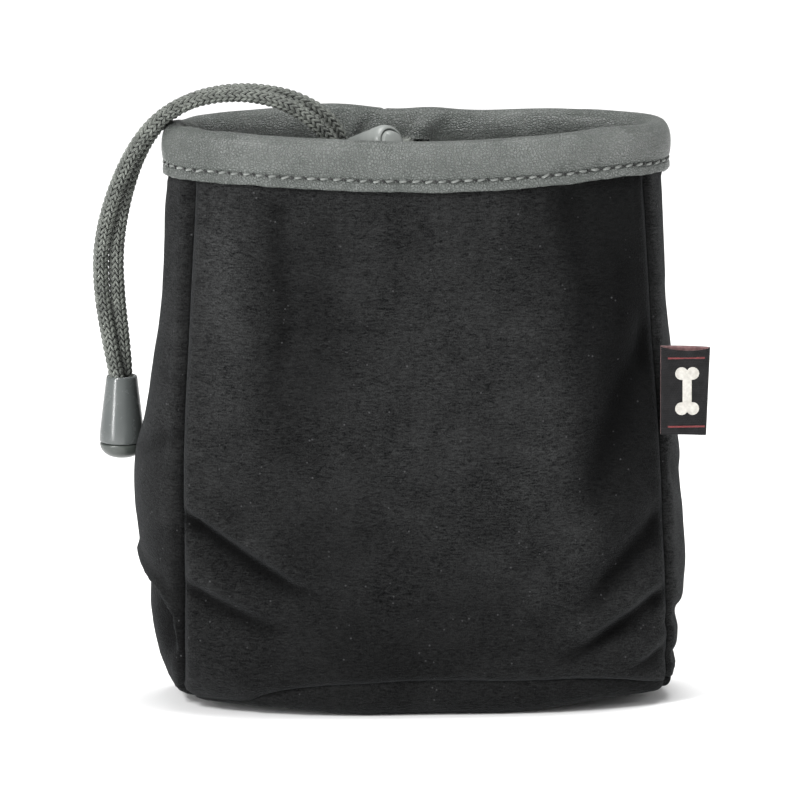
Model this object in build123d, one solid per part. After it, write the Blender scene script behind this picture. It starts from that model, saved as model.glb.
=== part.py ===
from build123d import *
import os
from math import cos, radians, sin, tan

# Treat pouch: a lined, gusseted soft bag with a drawstring rim, a cord lock, a hanging cord end,
# a side label and a belt clip. Millimetres, +Z up, +X to the right, the front towards -Y.
# The origin is the middle of the flat underside.

# --- Driving dimensions -------------------------------------------------------------------------
# Outer form of the bag: height, half width, half depth, and how square the outline is there.
LEVELS = [
    (0.0, 52.5, 23.5, 3.2),
    (4.0, 57.2, 28.0, 3.2),
    (15.0, 60.2, 29.6, 3.0),
    (45.0, 62.8, 29.6, 2.7),
    (75.0, 60.2, 27.0, 2.5),
    (126.0, 56.8, 22.6, 2.1),
]
SIDE_ARC, CORNER_ARC = 22.0, 46.0
SHELL_T = 1.6
LINING_GAP = 0.3
LINING_T = 0.5
FABRIC_TOP = 126.0
BASE_ROLL = 8.0
SEAM_X_TOP = 51.5
SEAM_X_LOW = 55.4
SEAM_LOW_Z = 50.0

# Rim binding: a folded tape that makes the channel for the drawstring.
RIM_A, RIM_B, RIM_N = 58.4, 24.3, 2.1
RIM_BOTTOM, RIM_TOP = 122.6, 134.0
# Sections of the tape and of its channel: height above the rim's foot, and how far the face steps in.
TAPE_OUTSIDE = [(0, 0.2), (4.4, 0), (8.4, 0), (10.2, 0.8), (RIM_TOP - RIM_BOTTOM, 2.6)]
TAPE_INSIDE = [(0, 4.9), (3.6, 4.9), (5.6, 6.3), (8.4, 6.3), (10.2, 5.5), (RIM_TOP - RIM_BOTTOM, 3.7)]
CHANNEL_OUTSIDE = [(0, 1.0), (8.4, 1.0), (10.3, 2.3)]
CHANNEL_INSIDE = [(0, 4.1), (3.4, 4.1), (5.3, 5.4), (8.4, 5.4), (10.3, 4.1)]
NOTCH_X, NOTCH_W = 1.8, 9.0
NOTCH_FLOOR, NOTCH_TOP, NOTCH_Y_LOW, NOTCH_SKIN = 0.0, 9.0, 16.0, 2.4
THREAD_UP, THREAD_D, THREAD_PROUD = 2.4, 0.5, 0.3

# Drawstring in the channel: its lowest and highest level, its two faces and the rounding between.
STRING_LOW, STRING_HIGH, STRING_OUT, STRING_IN, STRING_ROUND = 5.0, 8.8, 1.4, 5.0, 0.8

# Cord
CORD_D = 3.8

# Cord lock: centre of the cord hole, direction of the button, direction of the cord through it.
LOCK_AT = Vector(-10.8, 4.6, 125.9)
LOCK_UP = Vector(0.62, -0.68, 0.39)
LOCK_CORD = Vector(-0.72, -0.69, -0.06)
LOCK_W, LOCK_DEPTH, LOCK_LOW, LOCK_HIGH = 13.0, 9.0, -11.0, 8.2
LOCK_WALL, LOCK_FLOOR, LOCK_ROUND, PLUNGER_ROUND = 1.2, 1.4, 1.2, 1.4
PLUNGER_CLEAR, PLUNGER_LOW, PLUNGER_HIGH, PLUNGER_TRAVEL = 0.2, -3.6, 9.4, 3.0
CORD_HOLE_W, CORD_HOLE_H = 8.6, 4.4
SPRING_R, SPRING_WIRE, SPRING_TURNS = 2.2, 0.5, 4

# Cord end: bell, its plug and the knot inside
BELL_X, BELL_Y, BELL_TOP = -67.0, 13.0, 73.0
BELL_H, BELL_R_TOP, BELL_R_LOW, BELL_WALL = 15.2, 3.6, 5.15, 1.0
BELL_LIP, BELL_STRAIGHT_FROM = 0.5, -13.8
# The bell's bore, radius and height below its mouth, from the top down.
BELL_BORE = [
    (BELL_R_TOP - BELL_WALL, 1),
    (BELL_R_TOP - BELL_WALL, -3.0),
    (BELL_R_TOP - 0.2, -6.5),
    (BELL_R_LOW - BELL_WALL, -12.0),
    (BELL_R_LOW - BELL_WALL, -BELL_H - 1),
]
KNOT_R, KNOT_DROP = 3.3, 10.4
PLUG_H, PLUG_FLAT_R, PLUG_COLLAR_H, PLUG_STEP = 3.6, 1.4, 1.2, 1.1

# Side label
TAG_X, TAG_Y, TAG_Z = 55.2, -16.4, 63.2
TAG_L, TAG_H, TAG_T, TAG_TAPE = 11.4, 20.6, 1.3, 0.4

# Belt clip on the back: a patch, a bent steel strip and two rivets
PATCH_W, PATCH_LOW, PATCH_HIGH, PATCH_T, PATCH_GAP = 34.0, 64.0, 116.0, 1.2, 0.1
CLIP_W, CLIP_T, CLIP_GAP, CLIP_LEG, CLIP_TONGUE = 19.0, 1.2, 6.2, 32.0, 46.0
CLIP_Z, CLIP_Y, CLIP_TILT = 76.0, 29.1, 4.7
CLIP_PINCH, CLIP_PINCH_UP, CLIP_FLARE, CLIP_BEND_R = 1.0, 7.0, 1.2, 9.0
RIVET_R, RIVET_HEAD_R, RIVET_HEAD_H, RIVET_Z = 1.6, 3.6, 1.1, (8.0, 24.0)
RIVET_SHANK, RIVET_SHANK_Y = 4.4, -1.1

# Routes of the two free cords, from the rim's notch to the bell, chosen by hand.
CORD_FRONT_ROUTE = [
    (3.9, 18.7, 125.5),
    (2.1, 15.8, 125.1),
    (-14.9, -0.4, 123.7),
    (-18.8, -3.3, 125.3),
    (-22.6, -5.0, 129.2),
    (-25.1, -5.4, 136.0),
    (-31.2, -5.7, 142.5),
    (-41.5, -4.7, 145.5),
    (-52.6, -2.4, 143.4),
    (-60.5, -0.1, 136.9),
    (-65.4, 1.7, 126.9),
    (-71.0, 5.4, 115.1),
    (-73.5, 8.3, 103.0),
    (-72.8, 10.2, 91.4),
    (-70.1, 11.2, 81.0),
    (-67.6, 12.1, 71.5),
    (-67.3, 12.2, 66.5),
]
CORD_BACK_ROUTE = [
    (2.7, 19.7, 129.2),
    (0.8, 16.8, 128.8),
    (-16.1, 0.6, 127.3),
    (-19.4, -1.3, 128.7),
    (-21.4, -2.0, 131.2),
    (-24.1, -1.8, 136.4),
    (-30.8, -1.9, 141.9),
    (-41.5, -0.9, 144.3),
    (-52.6, 1.5, 142.4),
    (-60.5, 3.8, 136.9),
    (-65.4, 5.5, 126.9),
    (-67.8, 7.4, 115.1),
    (-69.7, 8.9, 103.0),
    (-69.2, 11.0, 91.4),
    (-67.7, 13.0, 81.0),
    (-66.4, 13.9, 71.5),
    (-66.7, 13.8, 66.5),
]
PIVOT_RUN = 9
PIVOT_GAP = 2.0
LOCK_BEND_R = 8.5


# --- Helpers ------------------------------------------------------------------------------------
def outline_point(z, half_width, half_depth, squareness, degrees):
    """The point of a rounded outline at height z that lies at an angle round it."""
    c, s = cos(radians(degrees)), sin(radians(degrees))
    x = half_width * abs(c) ** (2 / squareness) * (1 if c >= 0 else -1)
    y = half_depth * abs(s) ** (2 / squareness) * (1 if s >= 0 else -1)
    return (x, y, z)


def outline(*shape):
    """A closed rounded outline of eight arcs: two sides, four corners, the front and the back."""
    spans = 2 * [2 * SIDE_ARC, CORNER_ARC, 180 - 2 * SIDE_ARC - 2 * CORNER_ARC, CORNER_ARC]
    arcs = []
    start = -SIDE_ARC
    for span in spans:
        angles = (start, start + span / 2, start + span)
        arcs.append(ThreePointArc(*[outline_point(*shape, angle) for angle in angles]))
        start += span
    return make_face(arcs)


def level_at(z):
    """Half width, half depth and squareness of the bag at height z."""
    for low, high in zip(LEVELS, LEVELS[1:]):
        if z <= high[0]:
            share = (z - low[0]) / (high[0] - low[0])
            return [p + (q - p) * share for p, q in zip(low[1:], high[1:])]
    return list(LEVELS[-1][1:])


def bag_form(inset, floor, top):
    """The solid inside the bag's outer form, drawn in by inset, from floor up to top."""
    heights = [floor] + [level[0] for level in LEVELS if floor < level[0] < top] + [top]
    faces = []
    for z in heights:
        half_width, half_depth, squareness = level_at(z)
        faces.append(outline(z, half_width - inset, half_depth - inset, squareness))
    return loft(faces, ruled=True)


def ring_form(section):
    """A solid with the rim's outline, stepped in as the section says at each height above its foot."""
    faces = []
    for height, inset in section:
        faces.append(outline(RIM_BOTTOM + height, RIM_A - inset, RIM_B - inset, RIM_N))
    return loft(faces, ruled=True)


def block(x_low, x_high, y_low, y_high, z_low, z_high):
    """A box between two corners."""
    size = (x_high - x_low, y_high - y_low, z_high - z_low)
    middle = ((x_high + x_low) / 2, (y_high + y_low) / 2, (z_high + z_low) / 2)
    return Pos(*middle) * Box(*size)


def front_width():
    """The wedge of space between the two gussets."""
    corners = [
        (-SEAM_X_LOW, -1),
        (-SEAM_X_LOW, SEAM_LOW_Z),
        (-SEAM_X_TOP, FABRIC_TOP + 1),
        (SEAM_X_TOP, FABRIC_TOP + 1),
        (SEAM_X_LOW, SEAM_LOW_Z),
        (SEAM_X_LOW, -1),
    ]
    return extrude(Plane.XZ * make_face(Polyline(*corners, close=True)), 80, both=True)


def panels(skin, prefix, base_top):
    """Cuts a bag-shaped skin into its front, back, side and base panels."""
    middle = front_width()
    wall = skin & block(-80, 80, -60, 60, base_top, FABRIC_TOP)
    across = wall & middle
    sides = wall - middle
    return {
        prefix + "_front_panel": across & block(-80, 80, -60, 0, 0, 140),
        prefix + "_back_panel": across & block(-80, 80, 0, 60, 0, 140),
        prefix + "_left_gusset": sides & block(-80, 0, -60, 60, 0, 140),
        prefix + "_right_gusset": sides & block(0, 80, -60, 60, 0, 140),
        prefix + "_base_panel": skin & block(-80, 80, -60, 60, -1, base_top),
    }


# --- Bag ----------------------------------------------------------------------------------------
def shell():
    """The outer cloth."""
    skin = bag_form(0, 0, FABRIC_TOP) - bag_form(SHELL_T, SHELL_T, FABRIC_TOP)
    return panels(skin, "shell", BASE_ROLL)


def lining():
    """The inner cloth, just inside the shell."""
    outside = SHELL_T + LINING_GAP
    inside = outside + LINING_T
    skin = bag_form(outside, outside, FABRIC_TOP) - bag_form(inside, inside, FABRIC_TOP)
    return panels(skin, "lining", BASE_ROLL)


def rim_binding():
    """Outer leg, rounded top and inner leg of the tape, with the cord channel between them."""
    tape = ring_form(TAPE_OUTSIDE) - ring_form(TAPE_INSIDE)
    channel = ring_form(CHANNEL_OUTSIDE) - ring_form(CHANNEL_INSIDE)
    left, right = NOTCH_X - NOTCH_W / 2, NOTCH_X + NOTCH_W / 2
    low, high = RIM_BOTTOM + NOTCH_FLOOR, RIM_BOTTOM + NOTCH_TOP
    notch = block(left, right, NOTCH_Y_LOW, RIM_B - NOTCH_SKIN, low, high)
    return tape - channel - notch


def drawstring():
    """The cord inside the channel, open at the notch."""
    rise = [(STRING_LOW, 1), (STRING_LOW + STRING_ROUND, 0), (STRING_HIGH - STRING_ROUND, 0), (STRING_HIGH, 1)]
    outer = ring_form([(height, STRING_OUT + STRING_ROUND * turn) for height, turn in rise])
    inner = ring_form([(height, STRING_IN - STRING_ROUND * turn) for height, turn in rise])
    gap = block(NOTCH_X - NOTCH_W / 2, NOTCH_X + NOTCH_W / 2, 0, 2 * RIM_B, RIM_BOTTOM, RIM_TOP)
    return outer - inner - gap


def binding_thread():
    """The row of thread round the lower edge of the binding, as one thin band."""
    heights = (THREAD_UP - THREAD_D / 2, THREAD_UP + THREAD_D / 2)
    outer = ring_form([(height, -THREAD_PROUD - THREAD_D) for height in heights])
    inner = ring_form([(height, -THREAD_PROUD) for height in heights])
    return outer - inner


# --- Cord lock ----------------------------------------------------------------------------------
def lock_plane():
    return Plane(origin=LOCK_AT, x_dir=LOCK_CORD, z_dir=LOCK_UP)


def oval_bar(width, depth, low, high):
    """An upright bar of oval section, its long side along local Y."""
    return extrude(Plane.XY.offset(low) * SlotOverall(width, depth, rotation=90), high - low)


def cord_lock_body():
    body = oval_bar(LOCK_W, LOCK_DEPTH, LOCK_LOW, LOCK_HIGH)
    body = fillet(body.edges().group_by(Axis.Z)[0], LOCK_ROUND)
    pocket = oval_bar(LOCK_W - 2 * LOCK_WALL, LOCK_DEPTH - 2 * LOCK_WALL, LOCK_LOW + LOCK_FLOOR, LOCK_HIGH)
    hole = Box(2 * LOCK_DEPTH, CORD_HOLE_W, CORD_HOLE_H)
    return lock_plane() * (body - pocket - hole)


def cord_lock_plunger():
    margin = 2 * (LOCK_WALL + PLUNGER_CLEAR)
    bar = oval_bar(LOCK_W - margin, LOCK_DEPTH - margin, PLUNGER_LOW, PLUNGER_HIGH)
    bar = fillet(bar.edges().group_by(Axis.Z)[-1], PLUNGER_ROUND)
    slot_low, slot_high = -CORD_HOLE_H / 2, CORD_HOLE_H / 2 + PLUNGER_TRAVEL
    slot = block(-LOCK_DEPTH, LOCK_DEPTH, -CORD_HOLE_W / 2, CORD_HOLE_W / 2, slot_low, slot_high)
    return lock_plane() * (bar - slot)


def cord_lock_spring():
    low = LOCK_LOW + LOCK_FLOOR + SPRING_WIRE / 2 + 0.05
    high = PLUNGER_LOW - SPRING_WIRE / 2 - 0.05
    pitch = (high - low) / SPRING_TURNS
    path = Helix(pitch=pitch, height=high - low, radius=SPRING_R)
    start = Plane(origin=path @ 0, z_dir=path % 0)
    coil = sweep(start * Circle(SPRING_WIRE / 2), path=path)
    return lock_plane() * Pos(0, 0, low) * coil


# --- Free cords ---------------------------------------------------------------------------------
def bend_radii(route):
    """Arc radius at each inner point of a route, from its two runs and the turn between them."""
    radii = []
    for before, corner, after in zip(route, route[1:], route[2:]):
        first = Vector(*corner) - Vector(*before)
        second = Vector(*after) - Vector(*corner)
        turn = radians(first.get_angle(second))
        radii.append(0.45 * min(first.length, second.length) / tan(turn / 2))
    # The cord is pulled straight through the lock and bends round the lock's own lips.
    radii[1] = min(radii[1], LOCK_BEND_R)
    return radii


def free_cord(name, route):
    """One cord from the notch to the bell, cut at the place where its hanging end swings."""
    radii = bend_radii(route)
    path = FilletPolyline(*route, radius=radii)
    tube = sweep(Plane(origin=path @ 0, z_dir=path % 0) * Circle(CORD_D / 2), path=path)
    print(name, "cord length", round(path.length, 1))
    low, high = Vector(*route[PIVOT_RUN + 1]), Vector(*route[PIVOT_RUN])
    cut = Plane(origin=(low + high) / 2, z_dir=high - low) * Box(14, 14, PIVOT_GAP)
    pieces = (tube - cut).solids().sort_by(Axis.X)
    return {"cord_tail_" + name: pieces[0], "cord_arch_" + name: pieces[-1]}


# --- Cord end -----------------------------------------------------------------------------------
def cord_end_bell():
    """A conical sleeve with a rounded lip at the top and a straight foot."""
    outer = [
        (0, 0),
        (BELL_R_TOP - BELL_LIP, 0),
        (BELL_R_TOP, -BELL_LIP),
        (BELL_R_LOW, BELL_STRAIGHT_FROM),
        (BELL_R_LOW, -BELL_H),
        (0, -BELL_H),
    ]
    bore = [(0, BELL_BORE[0][1])] + BELL_BORE + [(0, BELL_BORE[-1][1])]
    profile = make_face(Polyline(*outer, close=True)) - make_face(Polyline(*bore, close=True))
    return Pos(BELL_X, BELL_Y, BELL_TOP) * revolve(Plane.XZ * profile, Axis.Z)


def cord_end_plug():
    """A domed plug with a flat foot and a collar that sits inside the bell."""
    rim, collar = BELL_R_LOW, BELL_R_LOW - PLUG_STEP
    corners = [
        (PLUG_FLAT_R, -PLUG_H),
        (0, -PLUG_H),
        (0, PLUG_COLLAR_H),
        (collar, PLUG_COLLAR_H),
        (collar, 0),
        (rim, 0),
    ]
    dome = ThreePointArc((rim, 0), (0.82 * rim, -0.65 * PLUG_H), (PLUG_FLAT_R, -PLUG_H))
    profile = make_face([Polyline(*corners), dome])
    return Pos(BELL_X, BELL_Y, BELL_TOP - BELL_H) * revolve(Plane.XZ * profile, Axis.Z)


def cord_end_knot():
    return Pos(BELL_X, BELL_Y, BELL_TOP - KNOT_DROP) * Sphere(KNOT_R)


# --- Label and clip -----------------------------------------------------------------------------
def side_tag():
    """A strip of tape folded into a flat loop, its two ends at the seam."""
    loop = block(0, TAG_L, -TAG_T / 2, TAG_T / 2, 0, TAG_H)
    space = block(-1, TAG_L - TAG_TAPE, -TAG_T / 2 + TAG_TAPE, TAG_T / 2 - TAG_TAPE, -1, TAG_H + 1)
    return Pos(TAG_X, TAG_Y, TAG_Z) * (loop - space)


def clip_place():
    """Foot of the clip's fixed leg, leaning with the back of the bag."""
    return Pos(0, CLIP_Y, CLIP_Z) * Rot(CLIP_TILT, 0, 0)


def rivet_holes():
    holes = [Pos(0, 0, z) * Rot(90, 0, 0) * Cylinder(RIVET_R, 12) for z in RIVET_Z]
    return clip_place() * (holes[0] + holes[1])


def back_patch():
    """A reinforcing patch that follows the back panel."""
    low = PATCH_LOW - PATCH_W / 2
    skin = bag_form(-PATCH_GAP - PATCH_T, low, FABRIC_TOP) - bag_form(-PATCH_GAP, low, FABRIC_TOP)
    window = block(-PATCH_W / 2, PATCH_W / 2, 0, 60, PATCH_LOW, PATCH_HIGH)
    return (skin & window) - rivet_holes()


def belt_clip():
    """A bent strip of spring steel: fixed leg, rounded top, and a tongue with a flared tip."""
    out, top = CLIP_GAP + CLIP_T, CLIP_LEG
    low = top - CLIP_TONGUE
    leg = Line((0, 0), (0, top))
    bend = ThreePointArc((0, top), (out / 2, top + out / 2), (out, top))
    pinch, tip = (out - CLIP_PINCH, low + CLIP_PINCH_UP), (out + CLIP_FLARE, low)
    tongue = FilletPolyline((out, top), pinch, tip, radius=CLIP_BEND_R)
    profile = Plane.YZ * trace(leg + bend + tongue, CLIP_T)
    strip = extrude(profile, CLIP_W / 2, both=True)
    return clip_place() * strip - rivet_holes()


def clip_rivets():
    """Two domed rivets through the clip and the patch into the back panel."""
    rivets = []
    for z in RIVET_Z:
        shank = Pos(0, RIVET_SHANK_Y, z) * Rot(90, 0, 0) * Cylinder(RIVET_R, RIVET_SHANK)
        head_y = (CLIP_T + RIVET_HEAD_H) / 2
        head = Pos(0, head_y, z) * Rot(90, 0, 0) * Cylinder(RIVET_HEAD_R, RIVET_HEAD_H)
        rivets.append((clip_place() * (shank + head)).solid())
    return Compound(children=rivets)


# --- Export -------------------------------------------------------------------------------------
def all_pieces():
    pieces = {**shell(), **lining()}
    pieces["rim_binding"] = rim_binding()
    pieces["binding_thread"] = binding_thread()
    pieces["drawstring"] = drawstring()
    pieces["cord_lock_body"] = cord_lock_body()
    pieces["cord_lock_plunger"] = cord_lock_plunger()
    pieces["cord_lock_spring"] = cord_lock_spring()
    pieces.update(free_cord("front", CORD_FRONT_ROUTE))
    pieces.update(free_cord("back", CORD_BACK_ROUTE))
    pieces["cord_end_bell"] = cord_end_bell()
    pieces["cord_end_plug"] = cord_end_plug()
    pieces["cord_end_knot"] = cord_end_knot()
    pieces["side_tag"] = side_tag()
    pieces["back_patch"] = back_patch()
    pieces["belt_clip"] = belt_clip()
    pieces["clip_rivets"] = clip_rivets()
    holes = rivet_holes()
    pieces["shell_back_panel"] = pieces["shell_back_panel"] - holes
    return pieces


os.makedirs("parts", exist_ok=True)
for node, shape in all_pieces().items():
    export_step(shape, os.path.join("parts", node + ".step"))
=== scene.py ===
import math

import bpy
import numpy as np
from mathutils import Matrix, Vector, noise


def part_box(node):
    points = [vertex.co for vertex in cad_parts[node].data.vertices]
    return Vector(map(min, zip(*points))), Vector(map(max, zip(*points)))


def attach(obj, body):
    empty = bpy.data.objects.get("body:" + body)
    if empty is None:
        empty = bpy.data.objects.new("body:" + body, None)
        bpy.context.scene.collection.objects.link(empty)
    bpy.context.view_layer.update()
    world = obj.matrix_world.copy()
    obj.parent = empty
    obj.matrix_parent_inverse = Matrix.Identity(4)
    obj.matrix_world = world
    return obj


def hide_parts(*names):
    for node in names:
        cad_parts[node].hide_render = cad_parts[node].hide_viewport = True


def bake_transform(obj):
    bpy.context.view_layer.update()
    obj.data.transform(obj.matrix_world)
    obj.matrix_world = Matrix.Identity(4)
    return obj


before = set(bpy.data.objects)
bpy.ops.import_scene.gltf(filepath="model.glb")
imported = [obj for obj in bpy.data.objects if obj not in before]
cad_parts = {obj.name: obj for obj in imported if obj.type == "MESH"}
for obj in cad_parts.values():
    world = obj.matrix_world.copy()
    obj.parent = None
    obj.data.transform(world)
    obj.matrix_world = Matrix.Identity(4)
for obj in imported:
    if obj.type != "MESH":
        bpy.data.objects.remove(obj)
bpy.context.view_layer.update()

MM = 0.001
RNG = np.random.default_rng(7)


# --- Small tools ----------------------------------------------------------------------------------
def curve_through(points):
    """A smooth function through (at, value) pairs, with Hermite spans between them."""
    at, value = (np.array(column, float) for column in zip(*points))
    slope = np.gradient(value, at)

    def read(x):
        x = np.clip(np.asarray(x, float), at[0], at[-1])
        k = np.clip(np.searchsorted(at, x, side="right") - 1, 0, len(at) - 2)
        h = at[k + 1] - at[k]
        t = (x - at[k]) / h
        t2, t3 = t * t, t * t * t
        start = (2 * t3 - 3 * t2 + 1) * value[k] + (t3 - 2 * t2 + t) * h * slope[k]
        return start + (3 * t2 - 2 * t3) * value[k + 1] + (t3 - t2) * h * slope[k + 1]

    return read


def smooth_step(low, high, x):
    t = np.clip((np.asarray(x, float) - low) / (high - low), 0, 1)
    return t * t * (3 - 2 * t)


def bump_at(value, middle, width):
    """A round hump, 1 at the middle."""
    return np.exp(-((value - middle) / width) ** 2)


def field_noise(points, size, seed=0.0):
    """Smooth noise from -1 to 1 at each point, with features of the given size."""
    shift = Vector((seed * 3.1, seed * 7.7, seed * 1.3))
    return np.array([noise.noise(Vector(p) / size + shift) for p in points])


def shade_smooth(mesh):
    mesh.polygons.foreach_set("use_smooth", [True] * len(mesh.polygons))


def new_mesh(name, vertices, faces, uv=None, smooth=True):
    """A mesh object in the row frame. uv is one pair for each vertex."""
    mesh = bpy.data.meshes.new(name)
    mesh.from_pydata([tuple(v) for v in vertices], [], [tuple(int(i) for i in f) for f in faces])
    mesh.validate()
    mesh.update()
    if smooth:
        shade_smooth(mesh)
    if uv is not None:
        layer = mesh.uv_layers.new(name="UVMap")
        corner = np.empty(len(mesh.loops), np.int32)
        mesh.loops.foreach_get("vertex_index", corner)
        layer.data.foreach_set("uv", np.asarray(uv, float)[corner].ravel())
    obj = bpy.data.objects.new(name, mesh)
    bpy.context.scene.collection.objects.link(obj)
    return obj


def grid_faces(rows, columns, closed_rows=False, closed_columns=False):
    """Quads of a grid whose vertices are numbered row by row."""
    faces = []
    for r in range(rows if closed_rows else rows - 1):
        below = (r + 1) % rows
        for c in range(columns if closed_columns else columns - 1):
            after = (c + 1) % columns
            faces.append((r * columns + c, r * columns + after, below * columns + after, below * columns + c))
    return faces


def tube_faces(rings, sides):
    """Faces of a closed tube: its rings, then a cap at each end."""
    last = (rings - 1) * sides
    caps = [tuple(range(sides - 1, -1, -1)), tuple(range(last, last + sides))]
    return grid_faces(rings, sides, closed_columns=True) + caps


def tube_uv(around, along, shape):
    """UV of a tube: u is the share of a turn round it and v the length along it."""
    turn, run = around / (2 * np.pi), along[:, None]
    return np.stack([np.broadcast_to(turn, shape), np.broadcast_to(run, shape)], -1)


def grid_mesh(name, grid, closed_rows=False, closed_columns=False, uv=None):
    """A mesh from an array of points, rows by columns."""
    rows, columns = grid.shape[:2]
    faces = grid_faces(rows, columns, closed_rows, closed_columns)
    pairs = None if uv is None else uv.reshape(-1, 2)
    return new_mesh(name, grid.reshape(-1, 3), faces, pairs)


def apply_modifiers(obj):
    graph = bpy.context.evaluated_depsgraph_get()
    mesh = bpy.data.meshes.new_from_object(obj.evaluated_get(graph), depsgraph=graph)
    obj.modifiers.clear()
    obj.data = mesh


def modify(obj, kind, **settings):
    """Adds a modifier and applies it."""
    modifier = obj.modifiers.new(kind.lower(), kind)
    for key, value in settings.items():
        setattr(modifier, key, value)
    apply_modifiers(obj)


def join_parts(name, parts):
    """One mesh object from (vertices, faces, uv) parts."""
    vertices, faces, uvs = [], [], []
    first = 0
    for part_vertices, part_faces, part_uv in parts:
        vertices.append(np.asarray(part_vertices, float).reshape(-1, 3))
        faces += [tuple(i + first for i in f) for f in part_faces]
        uvs.append(np.asarray(part_uv, float).reshape(-1, 2))
        first += len(vertices[-1])
    return new_mesh(name, np.concatenate(vertices), faces, np.concatenate(uvs))


def two_materials(obj, first, second, count):
    """Gives the first faces one material and the faces after them another."""
    obj.data.materials.clear()
    obj.data.materials.append(first)
    obj.data.materials.append(second)
    index = np.zeros(len(obj.data.polygons), np.int32)
    index[count:] = 1
    obj.data.polygons.foreach_set("material_index", index)


def finish_piece(obj, material, body, slot, *replaced):
    """Gives a piece its material and the body that it rides on, and hides the CAD nodes it stands for. The
    slot argument is not used.
    """
    obj.data.materials.clear()
    obj.data.materials.append(material)
    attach(obj, body)
    if replaced:
        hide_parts(*replaced)


# --- Camera ---------------------------------------------------------------------------------------
CAMERA_YAW = math.radians(3.7)
CAMERA_PITCH = math.radians(10.7)
CAMERA_DISTANCE = 8.0
CAMERA_AIM = Vector((-0.0037, 0.0, 0.0688))
CAMERA_LENS = 1566.0
CAMERA_FAR_CLIP = 40.0


def make_camera():
    data = bpy.data.cameras.new("camera")
    camera = bpy.data.objects.new("camera", data)
    bpy.context.scene.collection.objects.link(camera)
    flat = math.cos(CAMERA_PITCH)
    look = Vector((math.sin(CAMERA_YAW) * flat, math.cos(CAMERA_YAW) * flat, -math.sin(CAMERA_PITCH)))
    camera.location = CAMERA_AIM - look * CAMERA_DISTANCE
    camera.rotation_euler = look.to_track_quat("-Z", "Y").to_euler()
    data.lens = CAMERA_LENS
    data.clip_end = CAMERA_FAR_CLIP
    bpy.context.scene.camera = camera


# --- Materials ------------------------------------------------------------------------------------
class Shader:
    """A Principled material with short calls for its nodes."""

    def __init__(self, name, **sockets):
        self.material = bpy.data.materials.new(name)
        self.material.use_nodes = True
        self.tree = self.material.node_tree
        self.surface = self.tree.nodes["Principled BSDF"]
        for socket, value in sockets.items():
            self.surface.inputs[socket.replace("_", " ")].default_value = value
        self.place = self.node("ShaderNodeTexCoord").outputs["Object"]
        self.uv = self.node("ShaderNodeTexCoord").outputs["UV"]

    def node(self, kind, **settings):
        made = self.tree.nodes.new(kind)
        for key, value in settings.items():
            setattr(made, key, value)
        return made

    def feed(self, sockets, values):
        """Links or sets each socket."""
        for socket, value in zip(sockets, values):
            if isinstance(value, bpy.types.NodeSocket):
                self.tree.links.new(value, socket)
            else:
                socket.default_value = value

    def fed(self, kind, names, values, **settings):
        """A node with its named inputs fed."""
        made = self.node(kind, **settings)
        self.feed([made.inputs[name] for name in names], values)
        return made

    def stretched(self, scale):
        return self.fed("ShaderNodeMapping", ("Scale", "Vector"), (scale, self.place)).outputs[0]

    def noise(self, scale, detail=3.0, rough=0.6, source=None, twist=0.0):
        names = ("Scale", "Detail", "Roughness", "Distortion", "Vector")
        values = (scale, detail, rough, twist, source or self.place)
        return self.fed("ShaderNodeTexNoise", names, values).outputs["Fac"]

    def cells(self, scale, feature="F1"):
        names = ("Scale", "Vector")
        made = self.fed("ShaderNodeTexVoronoi", names, (scale, self.place), feature=feature)
        return made.outputs["Distance"]

    def math(self, operation, *values):
        made = self.node("ShaderNodeMath", operation=operation)
        self.feed(made.inputs, values)
        return made.outputs[0]

    def total(self, *terms):
        """The sum of values, each given as (value, weight)."""
        scaled = [v if weight == 1 else self.math("MULTIPLY", v, weight) for v, weight in terms]
        result = scaled[0]
        for value in scaled[1:]:
            result = self.math("ADD", result, value)
        return result

    def ranged(self, value, low, high, to_low=0.0, to_high=1.0):
        made = self.node("ShaderNodeMapRange")
        self.feed(list(made.inputs)[:5], (value, low, high, to_low, to_high))
        return made.outputs[0]

    def parts(self, source):
        return self.fed("ShaderNodeSeparateXYZ", (0,), (source,)).outputs

    def mixed(self, share, a, b, blend="MIX"):
        """A colour between a and b. Inputs 6 and 7 of the node are its two colours."""
        made = self.fed("ShaderNodeMix", (0, 6, 7), (share, a, b), data_type="RGBA", blend_type=blend)
        return made.outputs[2]

    def finish(self, colour, roughness, height, depth, strength):
        """Colour, roughness and fine relief of that depth in metres."""
        names = ("Strength", "Distance", "Height")
        bump = self.fed("ShaderNodeBump", names, (strength, depth, height)).outputs[0]
        sockets = [self.surface.inputs[name] for name in ("Base Color", "Roughness", "Normal")]
        self.feed(sockets, (colour, roughness, bump))
        return self.material


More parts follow.
